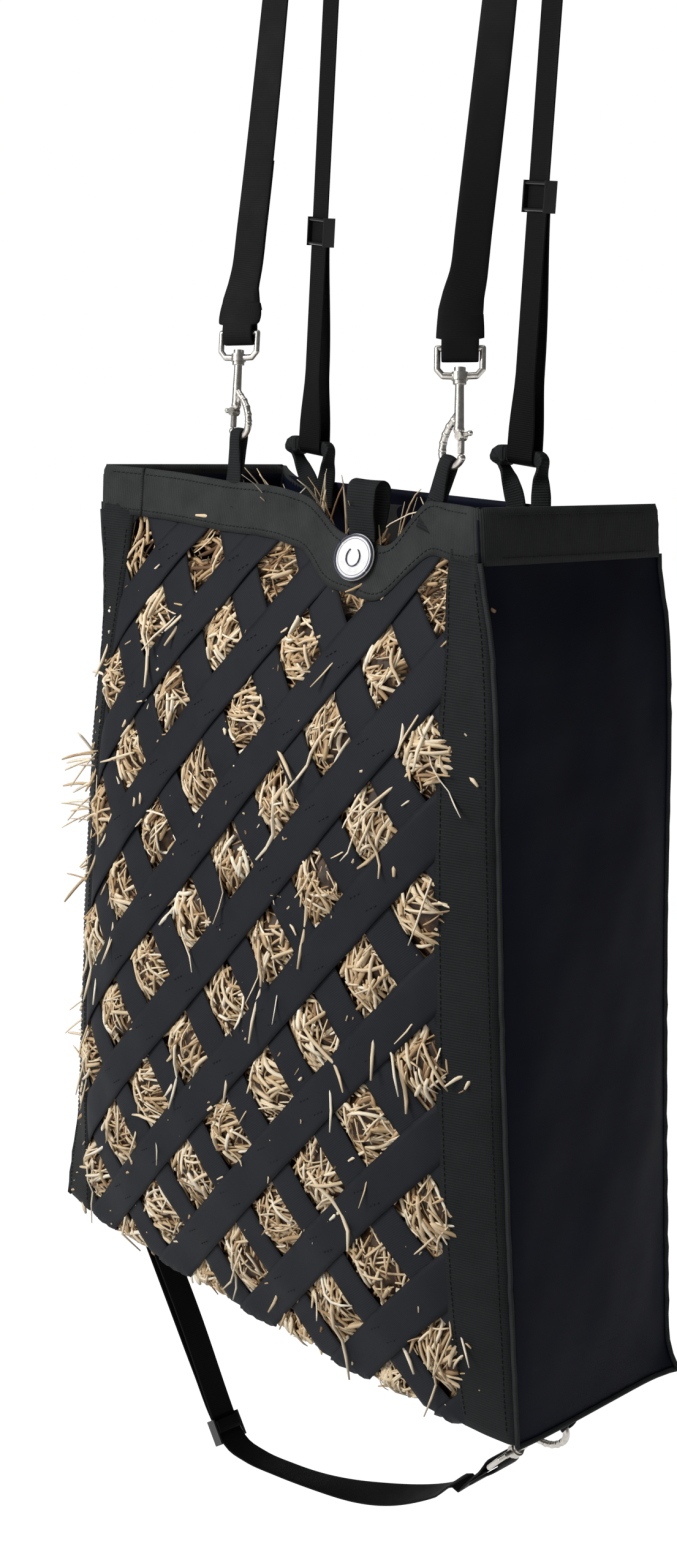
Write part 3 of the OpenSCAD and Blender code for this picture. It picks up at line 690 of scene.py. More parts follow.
def slider_webbing(name, rot, at, body, node_name):
    """Strap end sewn round the slider's middle bar."""
    bar = vec(0, 4.2, 0)
    bend = [bar + 2.2 * vec(0, math.cos(a), math.sin(a))
            for a in np.radians(np.linspace(60, 250, 14))]
    path = [vec(0, 6.0, -9), vec(0, 6.6, -4)] + bend + [vec(0, 2.4, -4), vec(0, 2.4, -10)]
    path = at + smooth_path(np.array(path), 40) @ rot.T
    obj = add_piece(name, ribbon(path, rot @ vec(1, 0, 0), WEB_W - 0.6, 1.4), body)
    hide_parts(node_name)


eyes = {}
for side, s in (("left", LEFT), ("right", RIGHT)):
    eyes[side] = front_leg(side, s)
    slide = rear_leg(side, s)
    rot = axes_along(slide, s["hitch"] + vec(0, -TURN_R, 0), REAR_TURN)
    slider_webbing(side + "_fold", rot, slide, side + "_slide", side + "_slider_fold")


# ---- Bottom strap ----

TETHER_Y = -10.0
SWING_Z = BASE_Z - 5.5
swing_left = vec(-266, TETHER_Y, SWING_Z)
tether_start = vec(-255, TETHER_Y, -1317)
tether_low = vec(-128, TETHER_Y, -1484)
tether_hook = vec(233, TETHER_Y, -1290)
tether_eye = vec(183, TETHER_Y, -1349)
tether_leg = unit(tether_low - tether_start)
tether_side = vec(-tether_leg[2], 0, tether_leg[0])
TETHER_TURN_R = 3.9
tether_turn = tether_start + tether_side * TETHER_TURN_R
TETHER_UP = 196
tether_slider = tether_start + tether_leg * TETHER_UP
tether_pull = unit(tether_hook - tether_eye)
TETHER_ROUTE = [(-255, -1317), (-213, -1372), (-170, -1428.5), (-140, -1466), (-120, -1481),
                (-98, -1482), (-58, -1476), (-10, -1465), (40, -1449), (88, -1427), (125, -1404),
                (148, -1386)]


def bottom_strap():
    y_axis = vec(0, 1, 0)
    rot = axes_along(tether_eye, tether_hook, 90)
    turn = arc(tether_turn, -tether_leg, -tether_side, TETHER_TURN_R, -80, 90, 12)
    route = np.array([(x, TETHER_Y, z) for x, z in TETHER_ROUTE], float)
    join = tether_eye - tether_pull * 50
    knots = np.concatenate([route[1:], [join]])
    body = np.concatenate([turn[:-1], spread(route[0], route[1], 8)[:-1],
                           smooth_path(knots, 70)])
    fold = snap_fold(rot, tether_eye)
    body = body[(body - tether_eye) @ tether_pull < -34]
    path = np.concatenate([body, spread(body[-1], fold[0], 6)[1:-1], fold])
    count = len(path) - len(fold)
    rise = -(path - tether_eye) @ tether_pull
    # The strap lies flat on the left and rolls a little before the snap
    roll = np.radians(22) * np.exp(-((path[:, 0] - 60) / 60.0) ** 2)
    tangent = unit(np.gradient(path, axis=0))
    lift = unit(np.cross(tangent, y_axis))
    end_x = rot @ vec(1, 0, 0)
    sign = np.sign(end_x[1])
    across = y_axis * np.cos(roll)[:, None] * sign + lift * np.sin(roll)[:, None]
    across[count:] = end_x
    index = np.arange(len(path))
    flare = np.exp(-((rise - 13) / 9.0) ** 2) * (index < count + 14)
    obj = add_piece("bottom_strap", ribbon(path, across, WEB_W + 5 * flare, 1.7, 1.3 * flare),
                       None)
    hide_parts("tether_strap", "tether_end")
    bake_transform(obj)
    # Doubled run from the left loop to the slider
    foot = tether_turn + tether_side * TETHER_TURN_R + tether_leg * 0.5
    head = tether_slider - tether_leg * 10 + tether_side * 2.6
    path = spread(foot, head, 30)
    path = path + tether_side * (2.5 * np.sin(PI * np.linspace(0, 1, 30)) ** 2)[:, None]
    back = add_piece("bottom_return", ribbon(path, y_axis, WEB_W, WEB_T), "tether")
    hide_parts("tether_return")
    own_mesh(back)
    rot = axes_along(tether_slider, tether_start, 90)
    slider_webbing("bottom_fold", rot, tether_slider, "tether_slide", "tether_slider_fold")
    # Left loop: sewn under the base's left corner and round the strap's turn
    up = unit(swing_left - tether_turn)
    sidew = unit(np.cross(y_axis, up))
    round_bar = arc(tether_turn, -sidew, -up, 1.7, -20, 200, 12)
    knots = np.concatenate([[swing_left + vec(14, 0, 3.5), swing_left + vec(3, 0, 1.5),
                             swing_left + up * -8 - sidew * 1.2], round_bar,
                            [swing_left + up * -8 + sidew * 1.2,
                             swing_left + vec(6, 0, 0.2), swing_left + vec(16, 0, 1.6)]])
    path = smooth_path(knots, 60)
    loop = add_piece("bottom_left_loop", ribbon(path, y_axis, 24, 1.7), None, surface=BORDER)
    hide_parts("tether_left_loop")
    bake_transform(loop)
    # Right loop: from the base's right corner to the snap
    across = vec(tether_pull[2], 0, -tether_pull[0])
    bearing = tether_eye + tether_pull * SNAP_LEN + across * 5.5
    seam = vec(243, TETHER_Y, BASE_Z - 1)
    turned = arc(bearing + tether_pull * 1.3, y_axis, -tether_pull, 4.3, -10, 190, 14)
    knots = np.concatenate([[seam + vec(-8, 7, 1), seam + vec(0, 5, -2)], turned,
                            [seam + vec(0, -5, -2), seam + vec(-8, -7, 1)]])
    path = smooth_path(knots, 60)
    loop = add_piece("bottom_right_loop", ribbon(path, across, 9, 1.8), None, surface=BORDER)
    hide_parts("tether_right_loop")
    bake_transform(loop)


bottom_strap()


# ---- Loops on the rim, middle loop and label ----

def hook_loop(name, side, s, leg, node_name):
    eye = eyes[side]
    rot = axes_along(eye, s["hook"], s["hook_turn"])
    lean = math.radians(s["lean"])
    tilt = np.array([[math.cos(lean), 0, math.sin(lean)], [0, 1, 0],
                     [-math.sin(lean), 0, math.cos(lean)]])
    eye, rot = eye + rot @ vec(-5.5, 0, -69), rot @ tilt
    top_z = -4.4 - 3.3
    up = arc(vec(0, 0, top_z), vec(0, 1, 0), vec(0, 0, 1), 4.5, 0, 180, 13)
    legs = [vec(0, 1.6, top_z - leg - 12), vec(0, 1.7, top_z - leg + 14), vec(0, 3.6, top_z - 12)]
    knots = np.concatenate([legs, up, [vec(p[0], -p[1], p[2]) for p in legs[::-1]]])
    path = eye + smooth_path(knots, 70) @ rot.T
    share = ease(np.abs(np.linspace(-1, 1, 70)), 0.12, 0.95)
    parts = [ribbon(path, rot @ vec(1, 0, 0), 11 + 7.5 * share, 2.0, 0.9 - 0.7 * share)]
    for z in (6, 10):
        seam = np.array([vec(dx, -1.2, top_z - leg + z) for dx in (-7, 0, 7)])
        parts.append(stitches(eye + seam @ rot.T, rot @ vec(0, -1, 0), 2.6, 2.0, 0.3, 1.2))
    obj = add_piece(name, merged(parts), "net", surface=BORDER)
    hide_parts(node_name)


hook_loop("left_front_tab", "left", LEFT, 43, "front_left_loop")
hook_loop("right_front_tab", "right", RIGHT, 37, "front_right_loop")


def rear_loop(name, s, close, node_name):
    """Webbing arch whose gathered top rolls under the strap, fuller at its left end."""
    h = s["hitch"]
    low, _ = (vec(*c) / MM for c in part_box(node_name))
    foot = low[2] - 14
    knots = [vec(close, -1, foot - h[2]), vec(close - 3, -1, foot + 16 - h[2]), vec(-16, -1, -12),
             vec(-21, 0, -6), vec(-21, 0, -0.5), vec(-16.5, 0, 0.2), vec(-8, 0, 0), vec(0, 0, 0),
             vec(8, 0, 0), vec(15, 0, -0.5), vec(18, 0, -5), vec(18.5, -1, -16),
             vec(18 - close, -1, foot + 14 - h[2]), vec(18 - close, -1, foot - h[2])]
    path = h + smooth_path(np.array(knots), 110)
    rise = path[:, 2] - h[2]
    top = ease(rise, -8, -2)
    lobe = top * ease(-(path[:, 0] - h[0]), 13, 18)
    wide = 12 - 3.0 * top + 6.5 * lobe + 3 * ease(-rise, 12, 30)
    thick = 3.0 + 6.5 * top + 6.0 * lobe
    across = unit(vec(0, 1, 0) * ease(rise[:, None], -24, -8)
                  + vec(0.85, 0.5, 0) * (1 - ease(rise[:, None], -24, -8)))
    obj = add_piece(name, ribbon(path, across, wide, thick, 0.5 * (1 - top)), "net",
                       surface=BORDER)
    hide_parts(node_name)


rear_loop("left_rear_tab", LEFT, 2, "rear_left_loop")
rear_loop("right_rear_tab", RIGHT, -2, "rear_right_loop")


def centre_loop():
    """Folded band of webbing astride the front hem, pinched where it is sewn."""
    c = vec(56, -83.2, -619)
    top = arc(c, vec(0, -1, 0), vec(0, 0, 1), 7.2, 0, 180, 17)
    front = [vec(56, -84.9, -676), vec(56, -86.2, -660), vec(56, -87.2, -648), vec(56, -90.4, -632)]
    rear = [vec(56, -76.6, -632), vec(56, -79.2, -648), vec(56, -79.8, -660)]
    path = smooth_path(np.concatenate([front, top, rear]), 80)
    low = ease(-path[:, 2], 612, 660)
    parts = [ribbon(path, vec(1, 0.08, 0), WEB_W + 1.5 - 3 * low, 2.2, 0.5)]
    seam = vec(56, -88.0, -646) + np.array([[dx, 0.08 * dx, 0] for dx in (-9, 0, 9)])
    parts.append(stitches(seam, vec(0, -1, 0), 2.8, 2.1, 0.3, 0.6))
    obj = add_piece("middle_loop", merged(parts), "net", surface=BORDER)
    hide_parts("centre_loop")


centre_loop()


def label_disc():
    """Round sewn label: a domed white disc, two raised rings and a plain horseshoe."""
    mat, tree, shader = material("label_white", (0.82, 0.81, 0.8), 0.45)
    ring, _, _ = material("label_ring", (0.05, 0.055, 0.09), 0.5)
    radius, turn = 17.0, math.radians(10)
    c = vec(56, -94.6, -665)
    x_axis = vec(math.cos(turn), math.sin(turn), 0)
    z_axis = unit(vec(-0.05, 0.24, 1))
    x_axis = unit(x_axis - (x_axis @ z_axis) * z_axis)
    out = np.cross(x_axis, z_axis)
    cloud = noise(tree, place(tree, 0.3, uv=False), 1.0, 4.0, 0.5)
    tone = ramp(tree, cloud, [(0.3, (0.72, 0.71, 0.72)), (0.7, (0.86, 0.85, 0.84))])
    tree.links.new(tone, shader.inputs["Base Color"])
    profile = [(0.02, 1.5), (0.3, 1.48), (0.62, 1.38), (0.78, 1.3), (0.9, 1.15), (0.97, 0.7),
               (1.0, 0.0), (0.97, -0.8), (0.6, -1.2), (0.02, -1.2)]
    angle = np.linspace(0, 2 * PI, 64, endpoint=False)
    spin = np.cos(angle)[:, None] * x_axis + np.sin(angle)[:, None] * z_axis
    rows = [c + radius * r * spin + out * h for r, h in profile]
    quads, at = ring_quads(len(rows), 64)
    lids = []
    for row, flip in ((at[0], False), (at[-1], True)):
        for k in range(31):
            lid = [row[k], row[k + 1], row[62 - k], row[63 - k]]
            lids.append(lid[::-1] if flip else lid)
    built = (np.array(rows), np.concatenate([quads, lids]), np.zeros((len(rows) * 64, 2)))
    disc = add_piece("label_face", built, surface=mat)
    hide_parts("label_disc")
    parts = []
    closed = np.linspace(0, 2 * PI, 65)
    for r, w in ((0.92, 1.5), (0.78, 0.4)):
        path = c + radius * r * (np.cos(closed)[:, None] * x_axis
                                 + np.sin(closed)[:, None] * z_axis) + out * 1.2
        parts.append(tube(path, w, 6, 0.5))
    shoe = np.radians(np.linspace(-55, 235, 40))
    path = c + 6.6 * (np.cos(shoe)[:, None] * x_axis * 0.86
                      + np.sin(shoe)[:, None] * z_axis * -1) + out * 1.5
    parts.append(tube(path, 1.35, 6, 0.35))
    add_piece("label_trim", merged(parts), surface=ring)


label_disc()


# ---- Nylon panels ----

def cloth(name, grid, normal, uv, nodes, seed, rough=1.0):
    """A nylon panel: a thin closed sheet with soft creases."""
    inside = ease(np.linspace(0, 1, grid.shape[0]), 0, 0.08) \
        * ease(1 - np.linspace(0, 1, grid.shape[0]), 0, 0.06)
    edge = ease(np.linspace(0, 1, grid.shape[1]), 0, 0.12) \
        * ease(1 - np.linspace(0, 1, grid.shape[1]), 0, 0.12)
    fade = inside[:, None] * edge[None]
    crease = 1.8 * ripple(grid * vec(1, 1, 0.45), 90, seed) + 0.5 * ripple(
        grid * vec(1, 1, 0.5), 38, seed + 1)
    grid = grid + normal * (crease * fade * rough)[..., None]
    obj = add_piece(name, slab(grid + normal * 0.1, grid - normal * 1.1, uv),
                    surface=NYLON)
    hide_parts(*nodes)
    return obj


def panels():
    v = np.linspace(8, BAG_H, 110)[:, None]
    sheets = {}
    u = np.linspace(1, -1, 90)[None]
    uv = points(-u * 230 + 0 * v, v + 0 * u, 0)[..., :2]
    sheets["back"] = cloth("back_cloth", rear_skin(u, v), vec(0, 1, 0), uv, ["back_panel"], 3)
    for side, name in ((-1, "left"), (1, "right")):
        s = np.linspace(-1, 1, 46)[None] * side
        uv = points(s * 93 + 0 * v, v + 0 * s, 0)[..., :2]
        sheets[name] = cloth(name + "_side_cloth", side_skin(side, s, v), vec(side, 0, 0), uv,
                             [name + "_gusset"], 7 + side)
    u = np.linspace(-1, 1, 80)[None]
    s = np.linspace(0, 1, 40)[:, None]
    front = front_skin(u, np.full_like(u, BAG_H + 4.0))
    rear = rear_skin(u, np.full_like(u, BAG_H))
    y = front[..., 1] * (1 - s) + rear[..., 1] * s
    drop = 3.0 * (1 - u ** 4) * (1 - (2 * s - 1) ** 4) * 0.5 + 4 * (1 - u * u) * (1 - s) ** 2
    grid = points(panel_x(u, 1.0) + 0 * s, y, BASE_Z + 0.6 - drop)
    uv = points(panel_x(u, 1.0) + 0 * s, y, 0)[..., :2]
    sheets["base"] = cloth("base_cloth", grid, vec(0, 0, -1), uv, ["bottom_panel"], 21, 0.5)
    return sheets


SHEETS = panels()

# ---- Hem, borders and corner binding ----


def rim_hem():
    """One webbing hem round the whole rim: front with its V, right side, rear, left side."""
    rows = np.linspace(0, HEM_H, 9)[:, None]
    bend = np.sin(PI * np.linspace(0, 1, 9))[:, None]

    def side_run(side, order):
        s = np.linspace(-0.965, 0.965, 22)[None] * order
        return lambda out: side_skin(side, s, rows, out + 0.5 * bend)

    def long_run(skin, dip, us):
        us = us[None]
        return lambda out: skin(us, rows + dip(us) + 0 * us, out + 0.5 * bend)

    runs = [long_run(front_skin, front_dip, np.linspace(-0.985, 0.985, 90)), side_run(1, 1),
            long_run(rear_skin, rear_dip, np.linspace(0.985, -0.985, 80)), side_run(-1, -1)]
    outer = np.concatenate([r(2.6) for r in runs], axis=1)
    inner = np.concatenate([r(-1.4) for r in runs], axis=1)
    # The hem puckers a little along the seam
    pucker = 0.7 * ripple(outer * vec(1, 1, 0.3), 26, 5) + 0.4 * ripple(outer, 11, 6)
    middle = outer.reshape(-1, 3)[:, :2].mean(0)
    away = unit(points(outer[..., 0] - middle[0], (outer[..., 1] - middle[1]) * 2, 0))
    outer = outer + away * pucker[..., None]
    outer[0] -= away[0] * 1.6
    inner[0] += away[0] * 1.6
    outer[0, :, 2] -= 0.3
    lengths = run_along(outer[4])
    uv = points(rows + 0 * lengths[None], lengths[None] + 0 * rows, 0)[..., :2]
    parts = [slab(outer, inner, uv, ring=True)]
    corners = (0, 90, 112, 192, 214)
    for row in (1, 7):
        for a, b in zip(corners, corners[1:]):
            run = slice(a + 2, b - 2)
            parts.append(stitches(outer[row, run], away[row, run], radius=0.4))
    # Lapped end of the hem webbing near the left corner
    u = vec(-0.80, -0.795, -0.79)
    v = np.linspace(-0.5, HEM_H + 0.5, 12)[:, None]
    lap_out = front_skin(u[None], v, vec(3.6, 4.6, 3.0)[None])
    lap_in = front_skin(u[None], v, 1.5)
    uv = points(u[None] * 200 + 0 * v, v + 0 * u[None], 0)[..., :2]
    parts.append(slab(lap_out, lap_in, uv))
    obj = add_piece("rim_hem", merged(parts), surface=HEM)
    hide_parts("front_hem", "rear_hem", "left_hem", "right_hem")
    return obj


def border(side, name):
    inner_edge = 1 - BORDER_W / half_w(0.5)
    u = np.linspace(inner_edge, 1.0, 9)[None] if side > 0 else np.linspace(-1.0, -inner_edge, 9)[None]
    v = np.linspace(HEM_H - 8, BAG_H + 3, 120)[:, None]
    close = ease(np.abs(u), inner_edge, inner_edge + 0.012) * ease(-np.abs(u), -1.0, -0.985)
    lift = 1.4 + 1.4 * close + 0.5 * ripple(front_skin(u, v), 40, 31 + side)
    sink = ease(v, BAG_H - 40, BAG_H) * 0.5
    outer = front_skin(u, v, lift - sink)
    inner = front_skin(u, v, -0.6)
    uv = points((u * half_w(0.5)) + 0 * v, v + 0 * u, 0)[..., :2]
    parts = [slab(outer, inner, uv)]
    for col in (1, 7):
        parts.append(stitches(outer[4:-3, col], vec(0, -1, 0)))
    obj = add_piece(name + "_border_web", merged(parts), surface=BORDER)
    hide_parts(name + "_border")


def binding():
    """Narrow bound seams down the corners and round the base."""
    v = np.linspace(HEM_H - 2, BAG_H - 1, 60)
    runs = [side_skin(side, np.full(60, s * 1.0), v, 0.6) for side in (-1, 1) for s in (-1, 1)]
    s = np.linspace(-1, 1, 30)
    runs += [side_skin(side, s, np.full(30, BAG_H - 0.5), 0.6) for side in (-1, 1)]
    runs.append(rear_skin(np.linspace(-1, 1, 60), np.full(60, BAG_H - 0.5), 0.6))
    parts = [tube(run + 0.35 * ripple(run, 17, 40 + k)[:, None], 1.9, 8)
             for k, run in enumerate(runs)]
    return add_piece("seam_binding", merged(parts), surface=BINDING_WEB)


HEM_PIECE = rim_hem()
border(-1, "left")
border(1, "right")
BINDING = binding()


# ---- Lattice ----

FIRST_U, FIRST_V, COL, ROW, LATTICE_W = 0.81, 62.0, 0.2, 54.0, 30.0
MEAN_COL = COL * half_w(0.5)
SLANT = math.hypot(MEAN_COL, ROW)
EDGE_X = LATTICE_W / 2 * ROW / SLANT
EDGE_Z = LATTICE_W / 2 * MEAN_COL / SLANT


def lattice_strap(k, rise):
    """One strap, from under the hem or a border to a border or under the base."""
    side = np.linspace(-1, 1, 9)[None]
    low_i, high_i = (-0.985 - FIRST_U) / COL, (0.985 - FIRST_U) / COL
    top_j, base_j = (8 - FIRST_V) / ROW, (BAG_H + 16 - FIRST_V) / ROW
    i0 = max(low_i, k - base_j if rise > 0 else k + top_j)
    i1 = min(high_i, k - top_j if rise > 0 else k + base_j)
    if i1 - i0 < 0.3:
        return None
    i = np.linspace(i0, i1, max(6, int((i1 - i0) * 10)))[:, None]
    j = (k - i) if rise > 0 else (i - k)
    v = FIRST_V + j * ROW + side * EDGE_Z * (1 if rise > 0 else -1)
    t = np.clip(v / BAG_H, 0, 1)
    u = FIRST_U + i * COL + side * EDGE_X / half_w(t)
    u = np.clip(u, -0.985, 0.985)
    v = np.maximum(v, front_dip(u) + 9)
    hem = ease(v - front_dip(u), HEM_H - 6, HEM_H + 26)
    rim = ease(-np.abs(u), -0.87, -0.79)
    free = hem * rim
    crossing = np.cos(PI * i) ** 2
    if rise > 0:
        out = 0.5 + free * (1.9 + 1.3 * crossing)
    else:
        out = 0.3 + free * (0.5 + 1.1 * (1 - crossing))
    place_on = front_skin(u, v)
    out = out + 0.5 * ripple(place_on, 45, 60 + k) * free - 0.35 * side ** 2
    edge = np.where(np.abs(side) > 0.95, 0.35, 0.6)
    outer = front_skin(u, v, out + edge)
    inner = front_skin(u, v, out - edge)
    run = run_along(outer[:, 4])
    uv = points(side * LATTICE_W / 2 + 0 * i, run[:, None] + 0 * side, 0)[..., :2]
    flip = slice(None, None, -1) if rise > 0 else slice(None)
    return slab(outer[:, flip], inner[:, flip], uv[:, flip])


def crossing_stitches():
    """Short bar tacks where two straps cross."""
    parts = []
    for i in range(-8, 1):
        for j in range(0, 12):
            if (i + j) % 2 == 0:
                continue
            u, v = FIRST_U + i * COL, FIRST_V + j * ROW
            if abs(u) > 0.76 or v > BAG_H - 14 or v < float(front_dip(u)) + HEM_H + 16:
                continue
            for dx in (-7, 7):
                us = u + np.array([dx - 3.5, dx + 3.5]) / float(half_w(v / BAG_H))
                vs = v + np.array([2.2, -2.2]) + dx * 0.4
                parts.append(stitches(front_skin(us, vs, 4.2), vec(0, -1, 0), 2.4, 1.9, 0.3, 0.15))
    return merged(parts)


def lattice():
    for rise, name in ((1, "rising"), (-1, "falling")):
        ks = range(-9, 12, 2) if rise > 0 else range(-21, 4, 2)
        parts = [lattice_strap(k, rise) for k in ks]
        parts = [p for p in parts if p is not None]
        if rise > 0:
            parts.append(crossing_stitches())
        obj = add_piece(name + "_webbing", merged(parts), surface=LATTICE)
        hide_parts(name + "_straps")


lattice()


# ---- Hay ----

def hole_share(u, v):
    """1 in the middle of a hole of the lattice and 0 under the straps."""
    a, b = (u - FIRST_U) / COL, (v - FIRST_V) / ROW
    share = np.cos(PI * (a + b) / 2) ** 2 * np.cos(PI * (a - b) / 2) ** 2
    return np.where(np.abs(u) > 0.92, 0, share)


def hay_out(u, v):
    low = ease(v, 40, 110) * ease(BAG_H - v, -2, 14)
    return -3.5 + 9.0 * ease(hole_share(u, v), 0.12, 0.9) * low


def hay_core_shade():
    """Packed middle of the hay under the loose stems, coloured dark brown as painted shade behind and
    between them.
    """
    rows = np.linspace(96, BAG_H - 2, 150)[:, None]
    u = np.linspace(-0.985, 0.985, 170)[None]
    grid = front_skin(u, rows, hay_out(u, rows) - 2.5)
    grid = grid - vec(0, 1, 0) * (1.6 * ripple(grid, 9, 70) + 0.8 * ripple(grid, 4, 71))[..., None]
    s = np.linspace(-0.95, 0.95, 20)[None]
    right = side_skin(1, s, rows, -6.0)
    back = rear_skin(np.linspace(0.985, -0.985, 60)[None], rows, -7.0)
    left = side_skin(-1, -s, rows, -6.0)
    ring = np.concatenate([grid, right, back, left], axis=1)
    middle = vec(-25, 0)
    rings = []
    for k in (0.0, 0.25, 0.5, 0.75, 0.9, 0.97):
        level = ring[0].copy()
        level[:, :2] = middle + (level[:, :2] - middle) * k
        level[:, 2] += 26 * (1 - k * k) + 7 * ripple(level, 60, 72) + 3 * ripple(level, 18, 73)
        rings.append(level)
    floor = ring[-1].copy()
    floor[:, :2] = middle + (floor[:, :2] - middle) * 0.02
    grid = np.concatenate([rings, ring, [floor]], axis=0)
    quads, _ = ring_quads(*grid.shape[:2])
    uv = points(0.5 + 0.35 * ripple(grid, 7, 74), grid[..., 2] + grid[..., 0] * 0.6, 0)[..., :2]
    obj = add_piece("hay_packed_shade", (grid, quads, uv), surface=HAY_SHADE_CORE)
    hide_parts("hay_fill")


def stems(paths, radius, flat, tone, name):
    """Many thin stems at once: paths is (count, points, 3)."""
    count, n = paths.shape[:2]
    tangent = unit(np.gradient(paths, axis=1))
    ref = unit(rng.normal(size=(count, 1, 3)) * 0.5 + vec(0, -1, 0.2))
    side = unit(np.cross(tangent, ref))
    up = np.cross(side, tangent)
    taper = np.interp(np.linspace(0, 1, n), [0, 0.12, 0.85, 1], [0.75, 1, 0.95, 0.5])
    size = radius[:, None] * taper
    ring = []
    for k in range(6):
        c, s = math.cos(k * PI / 3), math.sin(k * PI / 3)
        ring.append(paths + side * (c * size)[..., None] + up * (s * size * flat[:, None])[..., None])
    verts = np.stack(ring, 2)
    at = np.arange(count * n * 6).reshape(count, n, 6)
    nxt = np.roll(at, -1, axis=2)
    quads = np.stack([at[:, :-1], nxt[:, :-1], nxt[:, 1:], at[:, 1:]], -1).reshape(-1, 4)
    ends = np.concatenate([at[:, 0][:, [0, 5, 4, 1]], at[:, 0][:, [1, 4, 3, 2]],
                           at[:, -1][:, [0, 1, 4, 5]], at[:, -1][:, [1, 2, 3, 4]]])
    run = np.linspace(0, 12, n)[None, :, None] + rng.uniform(0, 90, (count, 1, 1))
    uv = np.stack(np.broadcast_arrays(tone[:, None, None] + np.zeros((1, 1, 6)), run), -1)
    add_piece(name, (verts, np.concatenate([quads, ends]), uv), surface=STRAW)


def front_stems(centre_u, centre_v, angle, long, bend, lift, tip, n=6):
    """Stems lying on the hay behind the lattice; tip raises one end out of it."""
    s = np.linspace(-0.5, 0.5, n)[None] * long[:, None]
    dx = s * np.cos(angle)[:, None] - bend[:, None] * s * s * np.sin(angle)[:, None]
    dv = s * np.sin(angle)[:, None] + bend[:, None] * s * s * np.cos(angle)[:, None]
    u = centre_u[:, None] + dx / half_w(np.clip(centre_v / BAG_H, 0, 1))[:, None]
    v = centre_v[:, None] + dv
    out = hay_out(u, v) + lift[:, None] + tip[:, None] * np.clip(s / long[:, None] + 0.5, 0, 1) ** 2
    return front_skin(u, v, out)


def front_hay():
    """Stems packed in the lattice's holes, and long ones that hang out of them."""
    holes = [(i, j) for i in range(-9, 2) for j in range(0, 12) if (i + j) % 2 == 0]
    parts = {k: [] for k in ("u", "v", "angle", "long", "bend", "lift", "tip", "radius", "tone")}
    for i, j in holes:
        u0, v0 = FIRST_U + i * COL, FIRST_V + j * ROW
        if abs(u0) > 1.0 or v0 > BAG_H + 5 or v0 < 40:
            continue
        top = v0 < 110
        n = 80 if top else 150
        a, b = rng.uniform(-1, 1, n), rng.uniform(-1, 1, n)
        parts["u"].append(np.clip(u0 + (a + b) / 2 * COL * 0.86, -0.93, 0.93))
        parts["v"].append(np.minimum(v0 + (a - b) / 2 * ROW * 0.86, BAG_H - 3))
        lean = rng.uniform(0, PI)
        angle = np.where(rng.random(n) < 0.5, rng.normal(lean, 0.45, n), rng.uniform(0, PI, n))
        parts["angle"].append(angle)
        parts["long"].append(rng.gamma(6.0, 3.4, n).clip(10, 38))
        parts["bend"].append(rng.normal(0, 0.012, n))
        # Stems lying deeper in the hay get darker tones, painted shade inside the hay; stems in the top
        # rows are darker again.
        high = rng.uniform(0, 1, n)
        parts["lift"].append(-4.5 + 6.5 * high)
        parts["tip"].append(np.where(rng.random(n) < 0.10, rng.uniform(3, 9, n), rng.normal(0, 0.8, n)))
        parts["radius"].append(0.7 + 1.25 * rng.random(n) ** 1.4)
        tone = 0.28 + 0.5 * high + rng.normal(0, 0.13, n) - (0.16 if top else 0)
        parts["tone"].append(tone.clip(0.02, 1))
    # Long stems that hang out of a hole and over the webbing below it
    n = 60
    pick = rng.integers(0, len(holes), n)
    start_u = np.array([FIRST_U + holes[k][0] * COL for k in pick]) + rng.normal(0, 0.03, n)
    start_v = np.array([FIRST_V + holes[k][1] * ROW for k in pick]) + rng.normal(0, 9, n)
    angle, long = rng.normal(PI / 2, 0.6, n), rng.uniform(34, 74, n)
    parts["u"].append(np.clip(start_u, -0.88, 0.82) + 0.45 * long * np.cos(angle) / 230)
    parts["v"].append(np.clip(start_v, 90, BAG_H - 60) + 0.45 * long * np.sin(angle))
    parts["angle"].append(angle)
    parts["long"].append(long)
    parts["bend"].append(rng.normal(0, 0.004, n))
    parts["lift"].append(rng.uniform(0.5, 2.0, n))
    parts["tip"].append(rng.uniform(9, 14, n))
    parts["radius"].append(rng.uniform(0.8, 1.7, n))
    parts["tone"].append(rng.normal(0.8, 0.12, n).clip(0.3, 1))
    p = {k: np.concatenate(x) for k, x in parts.items()}
    paths = front_stems(p["u"], p["v"], p["angle"], p["long"], p["bend"], p["lift"], p["tip"])
    flat = rng.choice([0.45, 0.8, 1.0], len(paths))
    half = (len(paths) + 2) // 3
    for k in range(3):
        part = slice(k * half, (k + 1) * half)
        stems(paths[part], p["radius"][part], flat[part], p["tone"][part], f"hay_front_{k}")


def mouth_hay():
    """Stems on top of the hay, inside the mouth."""
    n = 2300
    a, r = rng.uniform(0, 2 * PI, n), np.sqrt(rng.random(n))
    x = -27 + 196 * r * np.sign(np.cos(a)) * np.abs(np.cos(a)) ** 0.6
    y = 2 + 92 * r * np.sign(np.sin(a)) * np.abs(np.sin(a)) ** 0.6
    edge = np.clip(np.maximum(np.abs(x + 27) / 200, np.abs(y) / 96), 0, 1)
    z = RIM_Z - 96 + 24 * (1 - edge ** 2) + rng.uniform(-3, 9, n)
    way, tilt = rng.uniform(0, PI, n), rng.normal(0, 0.25, n)
    long = rng.gamma(5.0, 6.5, n).clip(14, 75)
    s = np.linspace(-0.5, 0.5, 6)[None] * long[:, None]
    arch = -0.004 * s * s
    path = points(x[:, None] + s * np.cos(way)[:, None], y[:, None] + s * np.sin(way)[:, None],
                  z[:, None] + s * np.sin(tilt)[:, None] + arch)
    path[..., 0] = np.clip(path[..., 0], -226, 166)
    path[..., 1] = np.clip(path[..., 1], -88, 86)
    stems(path, rng.uniform(0.5, 1.1, n), rng.choice([0.45, 0.9], n),
          rng.normal(0.62, 0.2, n).clip(0.05, 1), "hay_top")


